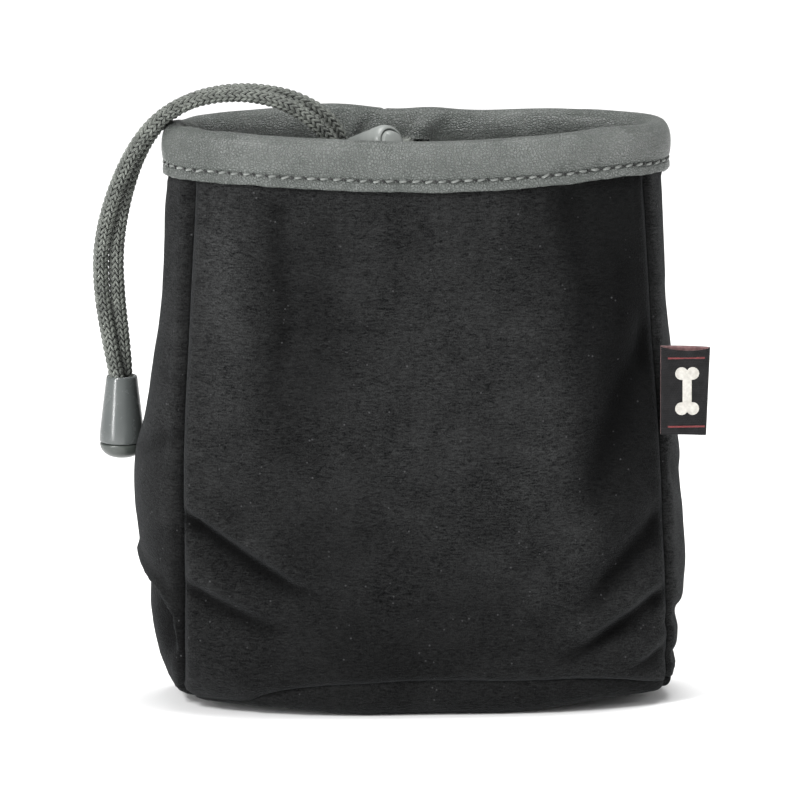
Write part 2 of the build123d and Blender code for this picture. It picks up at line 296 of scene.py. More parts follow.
def velour():
    """Short black pile: fine rows of nap across, lighter and darker by painted light and shade from a mesh
    attribute, and lint.
    """
    s = Shader("black_velour", Sheen_Weight=0.06, Sheen_Roughness=0.42, Sheen_Tint=(0.84, 0.88, 0.92, 1),
               Specular_IOR_Level=0.06)
    nap = s.noise(1.0, 3.0, 0.7, s.stretched((700, 700, 2600)), 0.3)
    pile = s.noise(3200, 2.0, 0.6)
    patch = s.noise(70, 3.0, 0.6, twist=0.6)
    # Painted light and shade, read from the mesh attribute that the bag's cloth carries.
    slant_and_painted_light = s.node("ShaderNodeAttribute", attribute_name="slant_and_painted_light").outputs["Fac"]
    grain = s.total((nap, 0.55), (pile, 0.45))
    shade = s.total((grain, 1), (patch, 0.20))
    colour = s.mixed(s.ranged(shade, 0.46, 0.74), (0.0012, 0.0013, 0.0014, 1), (0.0275, 0.0282, 0.0282, 1))
    # The colour is multiplied by e to the power of that painted light and shade.
    colour = s.mixed(1.0, colour, s.math("EXPONENT", slant_and_painted_light), "MULTIPLY")
    lint_pick = s.ranged(s.noise(330, 0.0, 0.5), 0.60, 0.68)
    lint = s.math("MULTIPLY", s.ranged(s.cells(620), 0.17, 0.06), lint_pick)
    colour = s.mixed(s.math("MULTIPLY", lint, 0.38), colour, (0.14, 0.14, 0.145, 1))
    return s.finish(colour, s.ranged(nap, 0.3, 0.7, 0.85, 1.0), grain, 0.0006, 1.0)


def nylon_lining():
    """Thin dark cloth with a fine square weave."""
    s = Shader("woven_lining", Sheen_Weight=0.1, Specular_IOR_Level=0.35)
    x, y, z = s.parts(s.place)
    across = s.math("SINE", s.math("MULTIPLY", s.math("ADD", x, y), 9000))
    up = s.math("SINE", s.math("MULTIPLY", z, 9000))
    weave = s.math("MULTIPLY", across, up)
    blotch = s.noise(60, 2.0)
    colour = s.mixed(s.ranged(blotch, 0.3, 0.7), (0.016, 0.017, 0.018, 1), (0.038, 0.040, 0.042, 1))
    return s.finish(colour, s.ranged(blotch, 0.3, 0.7, 0.5, 0.68), weave, 0.00006, 0.6)


def leather_tape(name, dark, light):
    """Leather-look tape: pebble grain, cloudy tone and a soft gloss."""
    s = Shader(name, Coat_Weight=0.08, Coat_Roughness=0.3, Specular_IOR_Level=0.5)
    plate = s.ranged(s.cells(1500, feature="DISTANCE_TO_EDGE"), 0.02, 0.2)
    fine = s.noise(3800, 3.0, 0.6)
    cloud = s.noise(95, 4.0, 0.6, twist=0.4)
    shade = s.total((cloud, 0.55), (plate, 0.24), (fine, 0.3))
    colour = s.mixed(s.ranged(shade, 0.35, 0.85), dark, light)
    roughness = s.ranged(s.total((cloud, 1), (plate, -0.2)), 0.2, 0.8, 0.27, 0.44)
    return s.finish(colour, roughness, s.total((plate, 0.5), (fine, 0.9)), 0.0013, 1.0)


def yarn(name, dark, light, lines=38.0):
    """Twisted filament yarn. UV u runs round the yarn and v along it."""
    s = Shader(name, Sheen_Weight=0.25, Sheen_Roughness=0.4, Specular_IOR_Level=0.35)
    u, v, _ = s.parts(s.uv)
    filament = s.math("SINE", s.total((u, lines), (v, 2200)))
    shade = s.total((filament, 0.16), (s.noise(260, 3.0, 0.6), 1))
    colour = s.mixed(s.ranged(shade, 0.25, 0.8), dark, light)
    return s.finish(colour, 0.62, filament, 0.00007, 0.8)


def moulded_plastic(name, dark, light, rough, grain=2600.0, depth=0.00002):
    """Moulded plastic with faint flow marks, handling scuffs and a fine surface."""
    s = Shader(name, Specular_IOR_Level=0.5)
    flow = s.noise(1.0, 3.0, 0.5, s.stretched((120, 120, 40)))
    scuff = s.noise(240, 4.0, 0.65, twist=1.4)
    fine = s.noise(grain, 2.0, 0.5)
    colour = s.mixed(s.ranged(flow, 0.3, 0.7), dark, light)
    roughness = s.total((s.ranged(scuff, 0.45, 0.75, rough, rough + 0.10), 1), (fine, 0.04))
    return s.finish(colour, roughness, fine, depth, 0.5)


def plated_steel(name, rough):
    """Nickel-plated strip with brushing along its length and small scratches."""
    s = Shader(name, Metallic=1.0)
    brush = s.noise(1.0, 4.0, 0.6, s.stretched((3600, 3600, 90)))
    cloud = s.noise(150, 3.0)
    scratch = s.noise(1.0, 2.0, 0.5, s.stretched((700, 700, 5200)), 0.8)
    colour = s.mixed(s.ranged(cloud, 0.3, 0.7), (0.46, 0.45, 0.43, 1), (0.60, 0.59, 0.57, 1))
    worn = s.ranged(scratch, 0.68, 0.74, 0, 0.2)
    roughness = s.total((s.ranged(brush, 0.3, 0.7, rough, rough + 0.14), 1), (worn, 1))
    return s.finish(colour, roughness, brush, 0.00003, 0.5)


def label_tape():
    """Black satin-woven label tape. UV u runs along the tape and v across it, in metres."""
    s = Shader("label_tape", Sheen_Weight=0.04, Specular_IOR_Level=0.16)
    u, v, _ = s.parts(s.uv)
    warp = s.math("SINE", s.math("MULTIPLY", v, 15000))
    weft = s.math("SINE", s.total((u, 16000), (v, 5200)))
    weave = s.total((warp, 0.6), (weft, 0.5))
    shade = s.ranged(s.total((s.noise(500, 3.0), 1), (weave, 0.12)), 0.3, 0.75)
    colour = s.mixed(shade, (0.0035, 0.0035, 0.004, 1), (0.013, 0.0125, 0.0135, 1))
    return s.finish(colour, s.ranged(weave, -0.8, 0.8, 0.62, 0.42), weave, 0.00006, 0.8)


def satin_thread(name, dark, light):
    """Close satin stitches that run across a motif."""
    s = Shader(name, Sheen_Weight=0.2)
    x, _, z = s.parts(s.place)
    lines = s.math("SINE", s.total((z, 24000), (x, 4000)))
    shade = s.ranged(s.total((s.noise(900, 2.0), 1), (lines, 0.2)), 0.2, 0.8)
    return s.finish(s.mixed(shade, dark, light), 0.5, lines, 0.00006, 0.8)


MATERIALS = {
    "velour": velour(),
    "lining": nylon_lining(),
    "tape": leather_tape("grey_leather_tape", (0.105, 0.118, 0.108, 1), (0.262, 0.279, 0.265, 1)),
    "patch": leather_tape("patch_leather", (0.062, 0.070, 0.064, 1), (0.155, 0.166, 0.157, 1)),
    "cord": yarn("cord_yarn", (0.057, 0.063, 0.055, 1), (0.240, 0.257, 0.228, 1)),
    # Near-black yarn: painted shade in the gaps of the cord and in the needle holes.
    "painted_shade_core": yarn("painted_shade_core", (0.0025, 0.003, 0.0025, 1), (0.006, 0.007, 0.006, 1)),
    "thread": yarn("sewing_thread", (0.12, 0.13, 0.122, 1), (0.27, 0.285, 0.268, 1), 12.0),
    "bell": moulded_plastic("cord_end_plastic", (0.066, 0.073, 0.072, 1), (0.090, 0.098, 0.096, 1), 0.2),
    "plug": moulded_plastic("plug_plastic", (0.043, 0.049, 0.045, 1), (0.062, 0.070, 0.064, 1), 0.28),
    "lock": moulded_plastic("lock_plastic", (0.150, 0.161, 0.153, 1), (0.208, 0.220, 0.211, 1), 0.34,
                            1800.0, 0.00004),
    "steel": plated_steel("plated_steel", 0.24),
    "spring": plated_steel("spring_wire", 0.2),
    "label": label_tape(),
    "motif": satin_thread("motif_thread", (0.42, 0.40, 0.36, 1), (0.72, 0.70, 0.65, 1)),
    "backing": satin_thread("label_backing", (0.05, 0.012, 0.013, 1), (0.30, 0.16, 0.16, 1)),
    "trim": satin_thread("trim_thread", (0.10, 0.008, 0.010, 1), (0.22, 0.02, 0.022, 1)),
}


# --- Cords ----------------------------------------------------------------------------------------
CORD_D = 3.8 * MM
# The pair of strands, from the notch in the rim to the knot in the bell, in millimetres: a point midway
# between them, and from there the way to the back strand. The front strand lies as far the other way.
PAIR_ROUTE = [
    ((1.6, 21.0, 125.2), (-1.6, 0.7, 0.6)),
    ((0.4, 17.2, 123.6), (-1.2, 0.75, 1.2)),
    ((-2.6, 9.6, 124.2), (-0.62, 0.49, 1.84)),
    ((-11.6, 0.9, 123.4), (-0.62, 0.49, 1.84)),
    ((-16.8, -2.4, 125.4), (-0.3, 1.0, 1.7)),
    ((-18.4, -3.5, 130.8), (0.6, 1.4, 1.1)),
    ((-23.0, -4.5, 136.3), (0.9, 1.4, 0.8)),
    ((-30.6, -3.8, 140.4), (0.5, 1.75, 0.4)),
    ((-41.0, -2.7, 141.9), (0.1, 1.88, 0.0)),
    ((-51.6, -0.8, 139.9), (0.1, 1.87, -0.3)),
    ((-59.2, 1.4, 134.8), (0.4, 1.8, -0.4)),
    ((-64.6, 4.0, 126.4), (0.9, 1.65, -0.3)),
    ((-68.5, 7.0, 114.8), (1.5, 1.1, 0)),
    ((-70.5, 9.2, 102.9), (1.85, 0.4, 0)),
    ((-69.9, 10.9, 91.4), (1.8, 0.4, 0)),
    ((-68.4, 12.1, 81.2), (1.5, 0.7, 0)),
    ((-67.0, 13.0, 71.5), (0.9, 1.0, 0)),
    ((-67.0, 13.0, 66.5), (0.3, 0.8, 0)),
]

STRANDS = {
    "front": (-1, ["cord_end_bell", "cord_end_plug", "cord_end_knot"]),
    "back": (1, ["cord_end_knot"]),
}

PLAIT_COLUMNS = 12
PLAIT_PITCH = 1.45 * MM
STITCH_LENGTH = 2.05 * MM
STITCH_HALF_WIDTH = 0.345 * MM
STITCH_HALF_DEPTH = 0.41 * MM
STITCH_SWING = 0.31
STITCH_RINGS = 6
STITCH_SIDES = 7
CORE_RADIUS = 1.16 * MM
CORE_SIDES = 14
CORE_RING_PITCH = 1.2 * MM
PATH_POINTS = 140


def strand_route(way):
    """The route points of one strand, to a tenth of a millimetre."""
    return [[round(m + way * g, 1) for m, g in zip(middle, gap)] for middle, gap in PAIR_ROUTE]


def spline_points(route):
    """Points along the smooth line of a route."""
    curve = bpy.data.curves.new("route", "CURVE")
    curve.dimensions = "3D"
    spline = curve.splines.new("NURBS")
    spline.points.add(len(route) - 1)
    for point, place in zip(spline.points, route):
        point.co = (place[0] * MM, place[1] * MM, place[2] * MM, 1.0)
    spline.order_u = 3
    spline.use_endpoint_u = True
    spline.resolution_u = 30
    holder = bpy.data.objects.new("route", curve)
    bpy.context.scene.collection.objects.link(holder)
    graph = bpy.context.evaluated_depsgraph_get()
    mesh = bpy.data.meshes.new_from_object(holder.evaluated_get(graph))
    points = np.array([v.co[:] for v in mesh.vertices])
    bpy.data.objects.remove(holder)
    bpy.data.meshes.remove(mesh)
    return points


class Line:
    """A line with a frame that doesn't twist, read at any length along it."""

    def __init__(self, points, up):
        self.points = points
        steps = np.linalg.norm(np.diff(points, axis=0), axis=1)
        self.at = np.concatenate([[0], np.cumsum(steps)])
        self.length = self.at[-1]
        tangents = np.gradient(points, self.at, axis=0)
        self.tangents = tangents / np.linalg.norm(tangents, axis=1)[:, None]
        normals = np.empty_like(points)
        normal = np.array(up, float)
        for i, tangent in enumerate(self.tangents):
            normal = normal - tangent * np.dot(normal, tangent)
            normal = normal / np.linalg.norm(normal)
            normals[i] = normal
        self.normals = normals

    def _read(self, values, at):
        return np.stack([np.interp(at, self.at, values[:, k]) for k in range(3)], axis=-1)

    def place(self, at, angle, radius):
        """Points at a length along the line, an angle round it and a distance out."""
        centre = self._read(self.points, at)
        tangent = self._read(self.tangents, at)
        normal = self._read(self.normals, at)
        side = np.cross(tangent, normal)
        out = normal * np.cos(angle)[..., None] + side * np.sin(angle)[..., None]
        return centre + out * np.asarray(radius)[..., None]


def cord_stitch(line, column, course, jitter):
    """One slanted stitch of the knitted cord, as (vertices, faces, uv)."""
    t = np.linspace(0, 1, STITCH_RINGS)
    around = np.linspace(0, 2 * np.pi, STITCH_SIDES, endpoint=False)
    swell = np.sin(np.pi * np.clip(t * 0.92 + 0.04, 0, 1)) ** 0.55
    slant = 1 if column % 2 else -1
    along = (course + 0.5) * PLAIT_PITCH - STITCH_LENGTH / 2 + jitter[0] * 0.05 * MM + t * STITCH_LENGTH
    swing = STITCH_SWING * (1 + 0.07 * jitter[1])
    angle = 2 * np.pi * column / PLAIT_COLUMNS + slant * swing * (2 * t - 1) + jitter[2] * 0.02
    wide = STITCH_HALF_WIDTH * swell * (1 + 0.06 * jitter[3])
    dip = 0.34 * MM * (1 - np.sin(np.pi * (t * 0.8 + 0.14)) ** 0.9)
    lift = CORD_D / 2 - STITCH_HALF_DEPTH - dip
    radius = lift[:, None] + STITCH_HALF_DEPTH * swell[:, None] * np.cos(around)
    across = wide[:, None] * np.sin(around)
    slant_and_painted_light = slant * 2 * swing * CORD_D / 2 / STITCH_LENGTH
    at = np.clip(along[:, None] - across * slant_and_painted_light, 0, line.length)
    grid = line.place(at, angle[:, None] + across / (CORD_D / 2), radius)
    uv = tube_uv(around, t * STITCH_LENGTH, grid.shape[:2])
    return grid, tube_faces(STITCH_RINGS, STITCH_SIDES), uv


def painted_shade_core(line):
    """A near-black core tube that shows between the stitches as painted shade, as (vertices, faces, uv)."""
    rings = int(line.length / CORE_RING_PITCH)
    shape = (rings, CORE_SIDES)
    at = np.broadcast_to(np.linspace(0, line.length, rings)[:, None], shape)
    angle = np.broadcast_to(np.linspace(0, 2 * np.pi, CORE_SIDES, endpoint=False), shape)
    core = line.place(at, angle, np.full(shape, CORE_RADIUS))
    return core, tube_faces(rings, CORE_SIDES), np.zeros((rings * CORE_SIDES, 2))


def plaited_cord(name, route):
    """A cord of knitted yarn: columns of slanted stitches that make stacked Vs, round a near-black core of
    painted shade.
    """
    line = Line(spline_points(route), (0, -1, 0.2))
    parts = []
    for column in range(PLAIT_COLUMNS):
        for course in range(int(line.length / PLAIT_PITCH)):
            parts.append(cord_stitch(line, column, course, RNG.normal(0, 1, 4)))
    stitches = sum(len(part[1]) for part in parts)
    parts.append(painted_shade_core(line))
    obj = join_parts(name, parts)
    two_materials(obj, MATERIALS["cord"], MATERIALS["painted_shade_core"], stitches)
    middle = np.zeros(PATH_POINTS)
    return obj, line.place(np.linspace(0, line.length, PATH_POINTS), middle, middle), line.length


def make_cords():
    for side, (way, goes_with) in STRANDS.items():
        obj, path, length = plaited_cord(f"cord_{side}_strand", strand_route(way))
        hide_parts(f"cord_arch_{side}", f"cord_tail_{side}")
        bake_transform(obj)


# --- CAD pieces -----------------------------------------------------------------------------------
PANELS = ("front_panel", "back_panel", "left_gusset", "right_gusset", "base_panel")
NODE_MATERIALS = {
    "velour": [f"shell_{panel}" for panel in PANELS],
    "lining": [f"lining_{panel}" for panel in PANELS],
    "tape": ["rim_binding"],
    "patch": ["back_patch"],
    "cord": ["drawstring", "cord_end_knot"],
    "thread": ["binding_thread"],
    "bell": ["cord_end_bell"],
    "plug": ["cord_end_plug"],
    "lock": ["cord_lock_body", "cord_lock_plunger"],
    "spring": ["cord_lock_spring"],
    "steel": ["belt_clip", "clip_rivets"],
    "label": ["side_tag"],
}
def dress_nodes():
    for material, nodes in NODE_MATERIALS.items():
        for name in nodes:
            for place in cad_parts[name].material_slots:
                place.material = MATERIALS[material]


# --- Stage ----------------------------------------------------------------------------------------
FLOOR_HALF = 14.0
WORLD_STRENGTH = 0.42
LAMP_AIM = Vector((0, 0, 0.07))
# Name, place, size and power of each softbox.
LAMPS = [
    ("key", (-0.85, -0.85, 1.05), (0.35, 0.45), 20.0),
    ("fill", (1.25, -0.5, 0.55), (0.4, 0.8), 4.5),
    ("top", (0.10, 0.15, 1.35), (0.9, 0.6), 20.0),
    ("strip", (-1.00, -0.72, 0.22), (0.06, 0.7), 11.0),
]


def make_floor():
    pale = Shader("pale_floor", Base_Color=(0.93, 0.93, 0.93, 1), Roughness=0.6, Specular_IOR_Level=0.2)
    ends = (-FLOOR_HALF, FLOOR_HALF)
    floor = grid_mesh("floor", np.array([[(x, y, 0.0) for x in ends] for y in ends]))
    floor.data.materials.append(pale.material)


def make_lights():
    world = bpy.data.worlds.new("studio")
    world.use_nodes = True
    background = world.node_tree.nodes["Background"]
    background.inputs["Color"].default_value = (1.0, 1.0, 1.0, 1)
    background.inputs["Strength"].default_value = WORLD_STRENGTH
    bpy.context.scene.world = world
    bpy.context.scene.view_settings.view_transform = "Standard"
    for name, place, size, power in LAMPS:
        data = bpy.data.lights.new(name, "AREA")
        data.shape = "RECTANGLE"
        data.size, data.size_y = size
        data.energy = power
        lamp = bpy.data.objects.new(name, data)
        lamp.location = place
        lamp.rotation_euler = (LAMP_AIM - Vector(place)).to_track_quat("-Z", "Y").to_euler()
        bpy.context.scene.collection.objects.link(lamp)


# --- Bag form -------------------------------------------------------------------------------------
# Millimetres at the size of the CAD model, in the row frame: height, then the distance from the middle.
LEFT_EDGE = [
    (0, 52.5), (1.8, 55.3), (5.4, 57.4), (8.9, 58.9), (12.4, 59.7), (19.4, 60.7), (26.4, 61.2),
    (30, 62.0), (37, 63.4), (44, 64.3), (51, 64.9), (58, 64.3), (65, 62.4), (71, 61.4), (82.6, 60.4),
    (96, 59.0), (110, 58.2), (117, 57.7), (122, 56.9), (126, 56.4),
]
RIGHT_EDGE = [
    (0, 56.2), (2, 58.6), (4, 59.3), (7.5, 59.0), (11, 59.8), (14, 60.1), (18, 59.7), (21.5, 60.9),
    (28, 61.8), (42.6, 61.4), (54.3, 60.6), (75, 59.2), (92, 58.1), (106, 57.6), (117, 57.1),
    (122, 56.6), (126, 56.4),
]
FRONT_DEPTH = [
    (0, 24.5), (4, 27.8), (9, 29.1), (18, 29.5), (45, 29.3), (75, 26.9), (100, 24.6), (118, 23.2),
    (126, 22.3),
]
BACK_DEPTH = [(0, 23.5), (4, 27.9), (15, 29.4), (45, 29.4), (75, 26.8), (126, 22.4)]
SQUARE = [(0, 3.2), (15, 3.0), (45, 2.75), (75, 2.55), (100, 2.3), (126, 2.1)]
SEAM_LEFT = [(0, 54.9), (30, 55.0), (60, 55.1), (90, 53.6), (126, 51.4)]
SEAM_RIGHT = [(0, 57.6), (15, 57.8), (30, 57.0), (60, 55.9), (90, 54.0), (126, 51.9)]
SEAM_BACK = [(0, 55.4), (50, 55.4), (126, 51.5)]
SEAM_LIMIT, SEAM_LIMIT_FOOT = 0.962, 0.024
PROFILE_WIDTH, PROFILE_DEPTH = 125.6, 29.6
RISE_LEFT, RISE_RIGHT = 2.0, 2.8
# Painted shade: how much darker the whole base is made.
BASE_PAINTED_SHADE = -0.55
BASE_SEAM_FRONT = [
    (-57, 0.6), (-53, 0.6), (-46, 0.7), (-42, 0.9), (-36, 2.8), (-30, 4.8), (-19, 7.2), (-8, 8.2), (0, 8.4),
    (24, 7.6), (35, 6.4), (47, 4.0), (53, 2.6), (57, 2.0),
]
BASE_SEAM_BACK = 8.0
BASE_RINGS, BASE_ROLL_RINGS = 26, 10
WALL_TOP = 126.0
SKIN = 1.5
LINING_IN = 2.2
LINING_SKIN = 0.4
BAG_MIDDLE = Vector((0, 0, 0.06))
# Each coat: thickness, how far inside the bag's form it lies, and its material.
COATS = {"shell": (SKIN, 0.0, "velour"), "lining": (LINING_SKIN, LINING_IN, "lining")}

left_edge, right_edge = curve_through(LEFT_EDGE), curve_through(RIGHT_EDGE)
front_depth, square = curve_through(FRONT_DEPTH), curve_through(SQUARE)
seam_left, seam_right = curve_through(SEAM_LEFT), curve_through(SEAM_RIGHT)
base_seam_front = curve_through(BASE_SEAM_FRONT)

# The CAD shell sets the size that the profiles above are scaled to.
CAD_LEFT = -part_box("shell_left_gusset")[0][0] / MM
CAD_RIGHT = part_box("shell_right_gusset")[1][0] / MM
CAD_FRONT = -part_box("shell_front_panel")[0][1] / MM
FIT_X = (CAD_LEFT + CAD_RIGHT) / PROFILE_WIDTH
FIT_Y = CAD_FRONT / PROFILE_DEPTH


def back_depth(z):
    return np.interp(z, *zip(*BACK_DEPTH))


def back_seam(z):
    return np.interp(z, *zip(*SEAM_BACK))


def edge_width(z, side):
    """Half width of the bag at a height, on its left (side -1) or right (side 1)."""
    return left_edge(z) if side < 0 else right_edge(z)
def side_width(x, z):
    return np.where(x < 0, left_edge(z), right_edge(z))


def wall_depth(x, z, depth):
    """How far the wall is from the middle plane at x, for a wall of that greatest depth."""
    n = square(z)
    share = np.clip(np.abs(x) / side_width(x, z), 0, 1)
    return depth * (1 - share ** n) ** (1 / n)


def wall_width(y, z, side):
    """How far the side of the bag is from the middle at y."""
    n = square(z)
    depth = np.where(y < 0, front_depth(z), back_depth(z))
    share = np.clip(np.abs(y) / depth, 0, 1)
    return side * edge_width(z, side) * (1 - share ** n) ** (1 / n)


def front_seam_x(z, side):
    seam = seam_left(z) if side < 0 else seam_right(z)
    limit = SEAM_LIMIT + SEAM_LIMIT_FOOT * smooth_step(14, 2, z)
    return side * np.minimum(seam, edge_width(z, side) * limit)


def back_seam_x(z, side):
    return side * np.minimum(back_seam(z), edge_width(z, side) * SEAM_LIMIT)


# --- Folds ----------------------------------------------------------------------------------------
# How much painted shade darkens the pile in a crease, for each millimetre of its depth.
SHADE = 0.62


def crease(x, z, path, depth, above, below, lip=0.0, fade=(0.02, 0.55)):
    """A fold along a path: a valley steep on its upper side with a lip over it, with painted shade in the
    valley and a painted highlight on the lip.
    """
    best = np.full(np.shape(x), 1e9)
    along, side = np.zeros(np.shape(x)), np.zeros(np.shape(x))
    spans = len(path) - 1
    for k in range(spans):
        (x0, z0), (x1, z1) = path[k], path[k + 1]
        run = math.hypot(x1 - x0, z1 - z0)
        dx, dz = (x1 - x0) / run, (z1 - z0) / run
        s = np.clip((x - x0) * dx + (z - z0) * dz, 0, run)
        off_x, off_z = x - x0 - s * dx, z - z0 - s * dz
        far = np.hypot(off_x, off_z)
        near = far < best
        best = np.where(near, far, best)
        along = np.where(near, (k + s / run) / spans, along)
        up_x = -dz if dx >= 0 else dz
        side = np.where(near, off_x * up_x + off_z * abs(dx), side)
    signed = np.where(side >= 0, best, -best)
    width = np.where(signed > 0, above, below)
    weight = smooth_step(-0.01, fade[0], along + 0.005) * (1 - smooth_step(fade[1], 1.0, along))
    push = lip * bump_at(signed, 2.3 * above, 1.7 * above) - depth * bump_at(signed, 0, width)
    span = above + below
    # Painted shade along the valley and a painted highlight on the lip.
    shaded = SHADE * min(depth, 3.0) * bump_at(signed, -0.1 * span, 0.3 * span)
    lit = 0.3 * min(lip, 1.0) * bump_at(signed, 2.4 * above, 1.6 * above)
    return weight * push, weight * (lit - shaded)


# Each crease: its path across and up the panel, depth, reach above and below, lip, and fade in and out.
FRONT_CREASES = [
    ([(-55.6, 47.2), (-44, 39.6), (-31, 31.2), (-20, 27.0)], 3.1, 1.3, 4.4, 1.5, (0.02, 0.42)),
    ([(-55.6, 30.0), (-47, 25.6), (-38, 21.4), (-27, 18.5)], 2.1, 1.7, 4.2, 0.8, (0.02, 0.4)),
    ([(57.0, 26.5), (49, 20.8), (38, 14.2), (28, 11)], 2.4, 2.2, 3.4, 1.1, (0.02, 0.5)),
    ([(57.0, 45.8), (48, 37), (40, 28), (34, 20)], 2.0, 3.6, 4.8, 0.8, (0.02, 0.5)),
    ([(55.0, 92.0), (46, 74), (39, 55), (37, 44)], 1.8, 4.2, 6.0, 0.5, (0.1, 0.5)),
    ([(57.5, 12.5), (53, 8.6), (46, 6.2)], 1.2, 1.3, 1.8, 0.5, (0.02, 0.5)),
    ([(-42, 91.0), (-20, 90.2), (13, 90.6)], 0.3, 0.9, 1.4, 0.12, (0.15, 0.7)),
    ([(-33, 120), (-32, 96), (-36, 66)], 0.8, 3.6, 3.6, 0.0, (0.05, 0.6)),
    ([(34, 122), (37, 100), (35, 74)], 0.8, 5.0, 5.0, 0.0, (0.05, 0.6)),
]
BACK_CREASES = [
    ([(-55.6, 40.0), (-44, 31), (-33, 26)], 1.6, 1.6, 3.6, 0.0, (0.02, 0.45)),
    ([(56.0, 36.0), (46, 28.0), (36, 24.0)], 1.4, 1.8, 3.6, 0.0, (0.02, 0.45)),
    ([(56.0, 62.0), (44, 52.0), (30, 47.0)], 0.9, 3.0, 4.6, 0.0, (0.02, 0.45)),
]
LEFT_CREASES = [
    ([(9, 33), (-3, 30.0), (-11, 26.6), (-15.5, 21), (-16.5, 8)], 2.4, 1.0, 4.6, 1.2, (0.12, 0.85)),
    ([(-17, 66), (-9, 61), (2, 59)], 0.8, 2.4, 4.0, 0.4, (0.02, 0.5)),
    ([(4, 120), (2, 96), (6, 72)], 1.0, 4.0, 4.0, 0.0, (0.05, 0.6)),
    ([(16, 46), (8, 40), (2, 38)], 1.1, 2.0, 3.0, 0.3, (0.02, 0.5)),
]
RIGHT_CREASES = [
    ([(-17, 22.5), (-9, 19.5), (2, 19)], 0.9, 1.6, 3.0, 0.3, (0.02, 0.3)),
    ([(-17, 9.5), (-8, 7.6), (2, 8.2)], 0.5, 1.3, 2.0, 0.2, (0.02, 0.3)),
    ([(-2, 122), (-1, 98), (-5, 74)], 1.0, 4.0, 4.0, 0.0, (0.05, 0.6)),
    ([(-17, 58), (-8, 52), (4, 50)], 0.8, 2.6, 4.2, 0.4, (0.02, 0.5)),
]
# Each ridge: place across and height, reach each way, and how far out.
FRONT_RIDGES = [(-39, 88, 4.0, 28, 0.8), (48, 86, 4.5, 26, 0.6), (-6, 40, 22, 22, 0.7), (20, 30, 16, 12, 0.4)]
# Painted light and shade on the pile as a whole: place along the panel and height, reach each way, and how
# far (lighter above 0, darker below 0).
FRONT_PAINTED_LIGHT = [
    (-45.6, 104, 4.6, 18, 0.5), (-46.5, 72, 4.0, 16, 0.1), (-27, 90, 10, 26, -0.5), (48, 86, 11, 48, -1.7),
    (33, 116, 9, 13, -0.6), (-8, 12, 44, 20, -0.75), (-22, 42, 16, 12, -0.35), (12, 78, 20, 26, 0.10),
    (30, 58, 9, 30, 0.18), (50, 22, 5, 6, 0.5), (-32, 62, 7, 18, -0.2), (-46, 38, 7, 18, -0.35),
]
# Painted light and shade on the gussets and the back, listed the same way.
LEFT_PAINTED_LIGHT = [(-4, 92, 7, 12, 0.1), (0, 60, 30, 90, -0.35), (-10, 22, 16, 24, -0.8)]
RIGHT_PAINTED_LIGHT = [(0, 60, 30, 90, 0.25)]
BACK_PAINTED_LIGHT = [(-30, 90, 9, 26, -0.4), (36, 60, 12, 26, 0.25), (0, 20, 40, 14, -0.4)]


def humps(across, z, places):
    """The sum of round humps, each given as place, height, reach each way and size."""
    total = np.zeros(np.shape(across))
    for x0, z0, wide, tall, size in places:
        total = total + size * bump_at(across, x0, wide) * bump_at(z, z0, tall)
    return total


def folds(across, z, creases, ridges, painted_lights):
    """Push of a wall from all its folds and its ridges, and its painted light and shade from its creases and
    zones.
    """
    push, slant_and_painted_light = humps(across, z, ridges), humps(across, z, painted_lights)
    for settings in creases:
        more_push, more_painted_light = crease(across, z, *settings)
        push += more_push
        slant_and_painted_light += more_painted_light
    return push, slant_and_painted_light


def seam_pinch(distance, z, seed):
    """Cloth drawn in at a seam, a little puffed beside it and puckered along it."""
    pucker = 1 + 0.35 * np.sin(z * 2 * math.pi / 3.3 + 1.7 * np.sin(z * 0.31 + seed) + seed)
    return 0.24 * pucker * bump_at(distance, 2.2, 1.3) - 1.1 * bump_at(distance, 0, 0.8)


def cloth_wobble(points, seed):
    wide = field_noise(points, 34.0, seed)
    middle = field_noise(points, 13.0, seed + 2)
    small = field_noise(points, 4.2, seed + 5)
    return 0.55 * wide + 0.26 * middle + 0.06 * small


def grid_normals(grid):
    """Unit normals of a grid of points, which point away from the middle of the bag."""
    normals = np.cross(np.gradient(grid, axis=1), np.gradient(grid, axis=0))
    normals = normals / np.maximum(np.linalg.norm(normals, axis=2), 1e-9)[..., None]
    outward = np.mean(np.sum(normals * (grid * (1, 1, 0)), axis=2))
    return -normals if outward < 0 else normals


WALL_ROWS = 150
ROW_SHARE = np.linspace(0, 1, WALL_ROWS)


def wall_heights(start):
    """Row heights of one column or more, from the base seam up to the top."""
    return start[None, :] + (WALL_TOP - start)[None, :] * ROW_SHARE[:, None]


def front_wall(columns=150):
    share = np.linspace(0, 1, columns)
    spread = 0.5 - 0.5 * np.cos(math.pi * share)
    share = 0.75 * share + 0.25 * spread
    z = wall_heights(base_seam_front(front_seam_x(4.0, -1) * (1 - share) + front_seam_x(4.0, 1) * share))
    x = front_seam_x(z, -1) * (1 - share) + front_seam_x(z, 1) * share
    y = -wall_depth(x, z, front_depth(z))
    reach, slant_and_painted_light = folds(x, z, FRONT_CREASES, FRONT_RIDGES, FRONT_PAINTED_LIGHT)
    edge = np.minimum(x - front_seam_x(z, -1), front_seam_x(z, 1) - x)
    return np.stack([x, y, z], -1), reach, edge, 1.0, slant_and_painted_light


def back_wall(columns=110):
    share = np.linspace(0, 1, columns)
    z = wall_heights(np.full(columns, BASE_SEAM_BACK))
    x = back_seam_x(z, 1) * (1 - share) + back_seam_x(z, -1) * share
    y = wall_depth(x, z, back_depth(z))
    under_patch = smooth_step(26, 17, np.abs(x)) * smooth_step(54, 64, z)
    reach, slant_and_painted_light = folds(x, z, BACK_CREASES, (), BACK_PAINTED_LIGHT)
    reach = reach * (1 - under_patch) - 0.35
    edge = np.minimum(back_seam_x(z, 1) - x, x - back_seam_x(z, -1))
    return np.stack([x, y, z], -1), reach, edge, 0.45 * (1 - under_patch), slant_and_painted_light


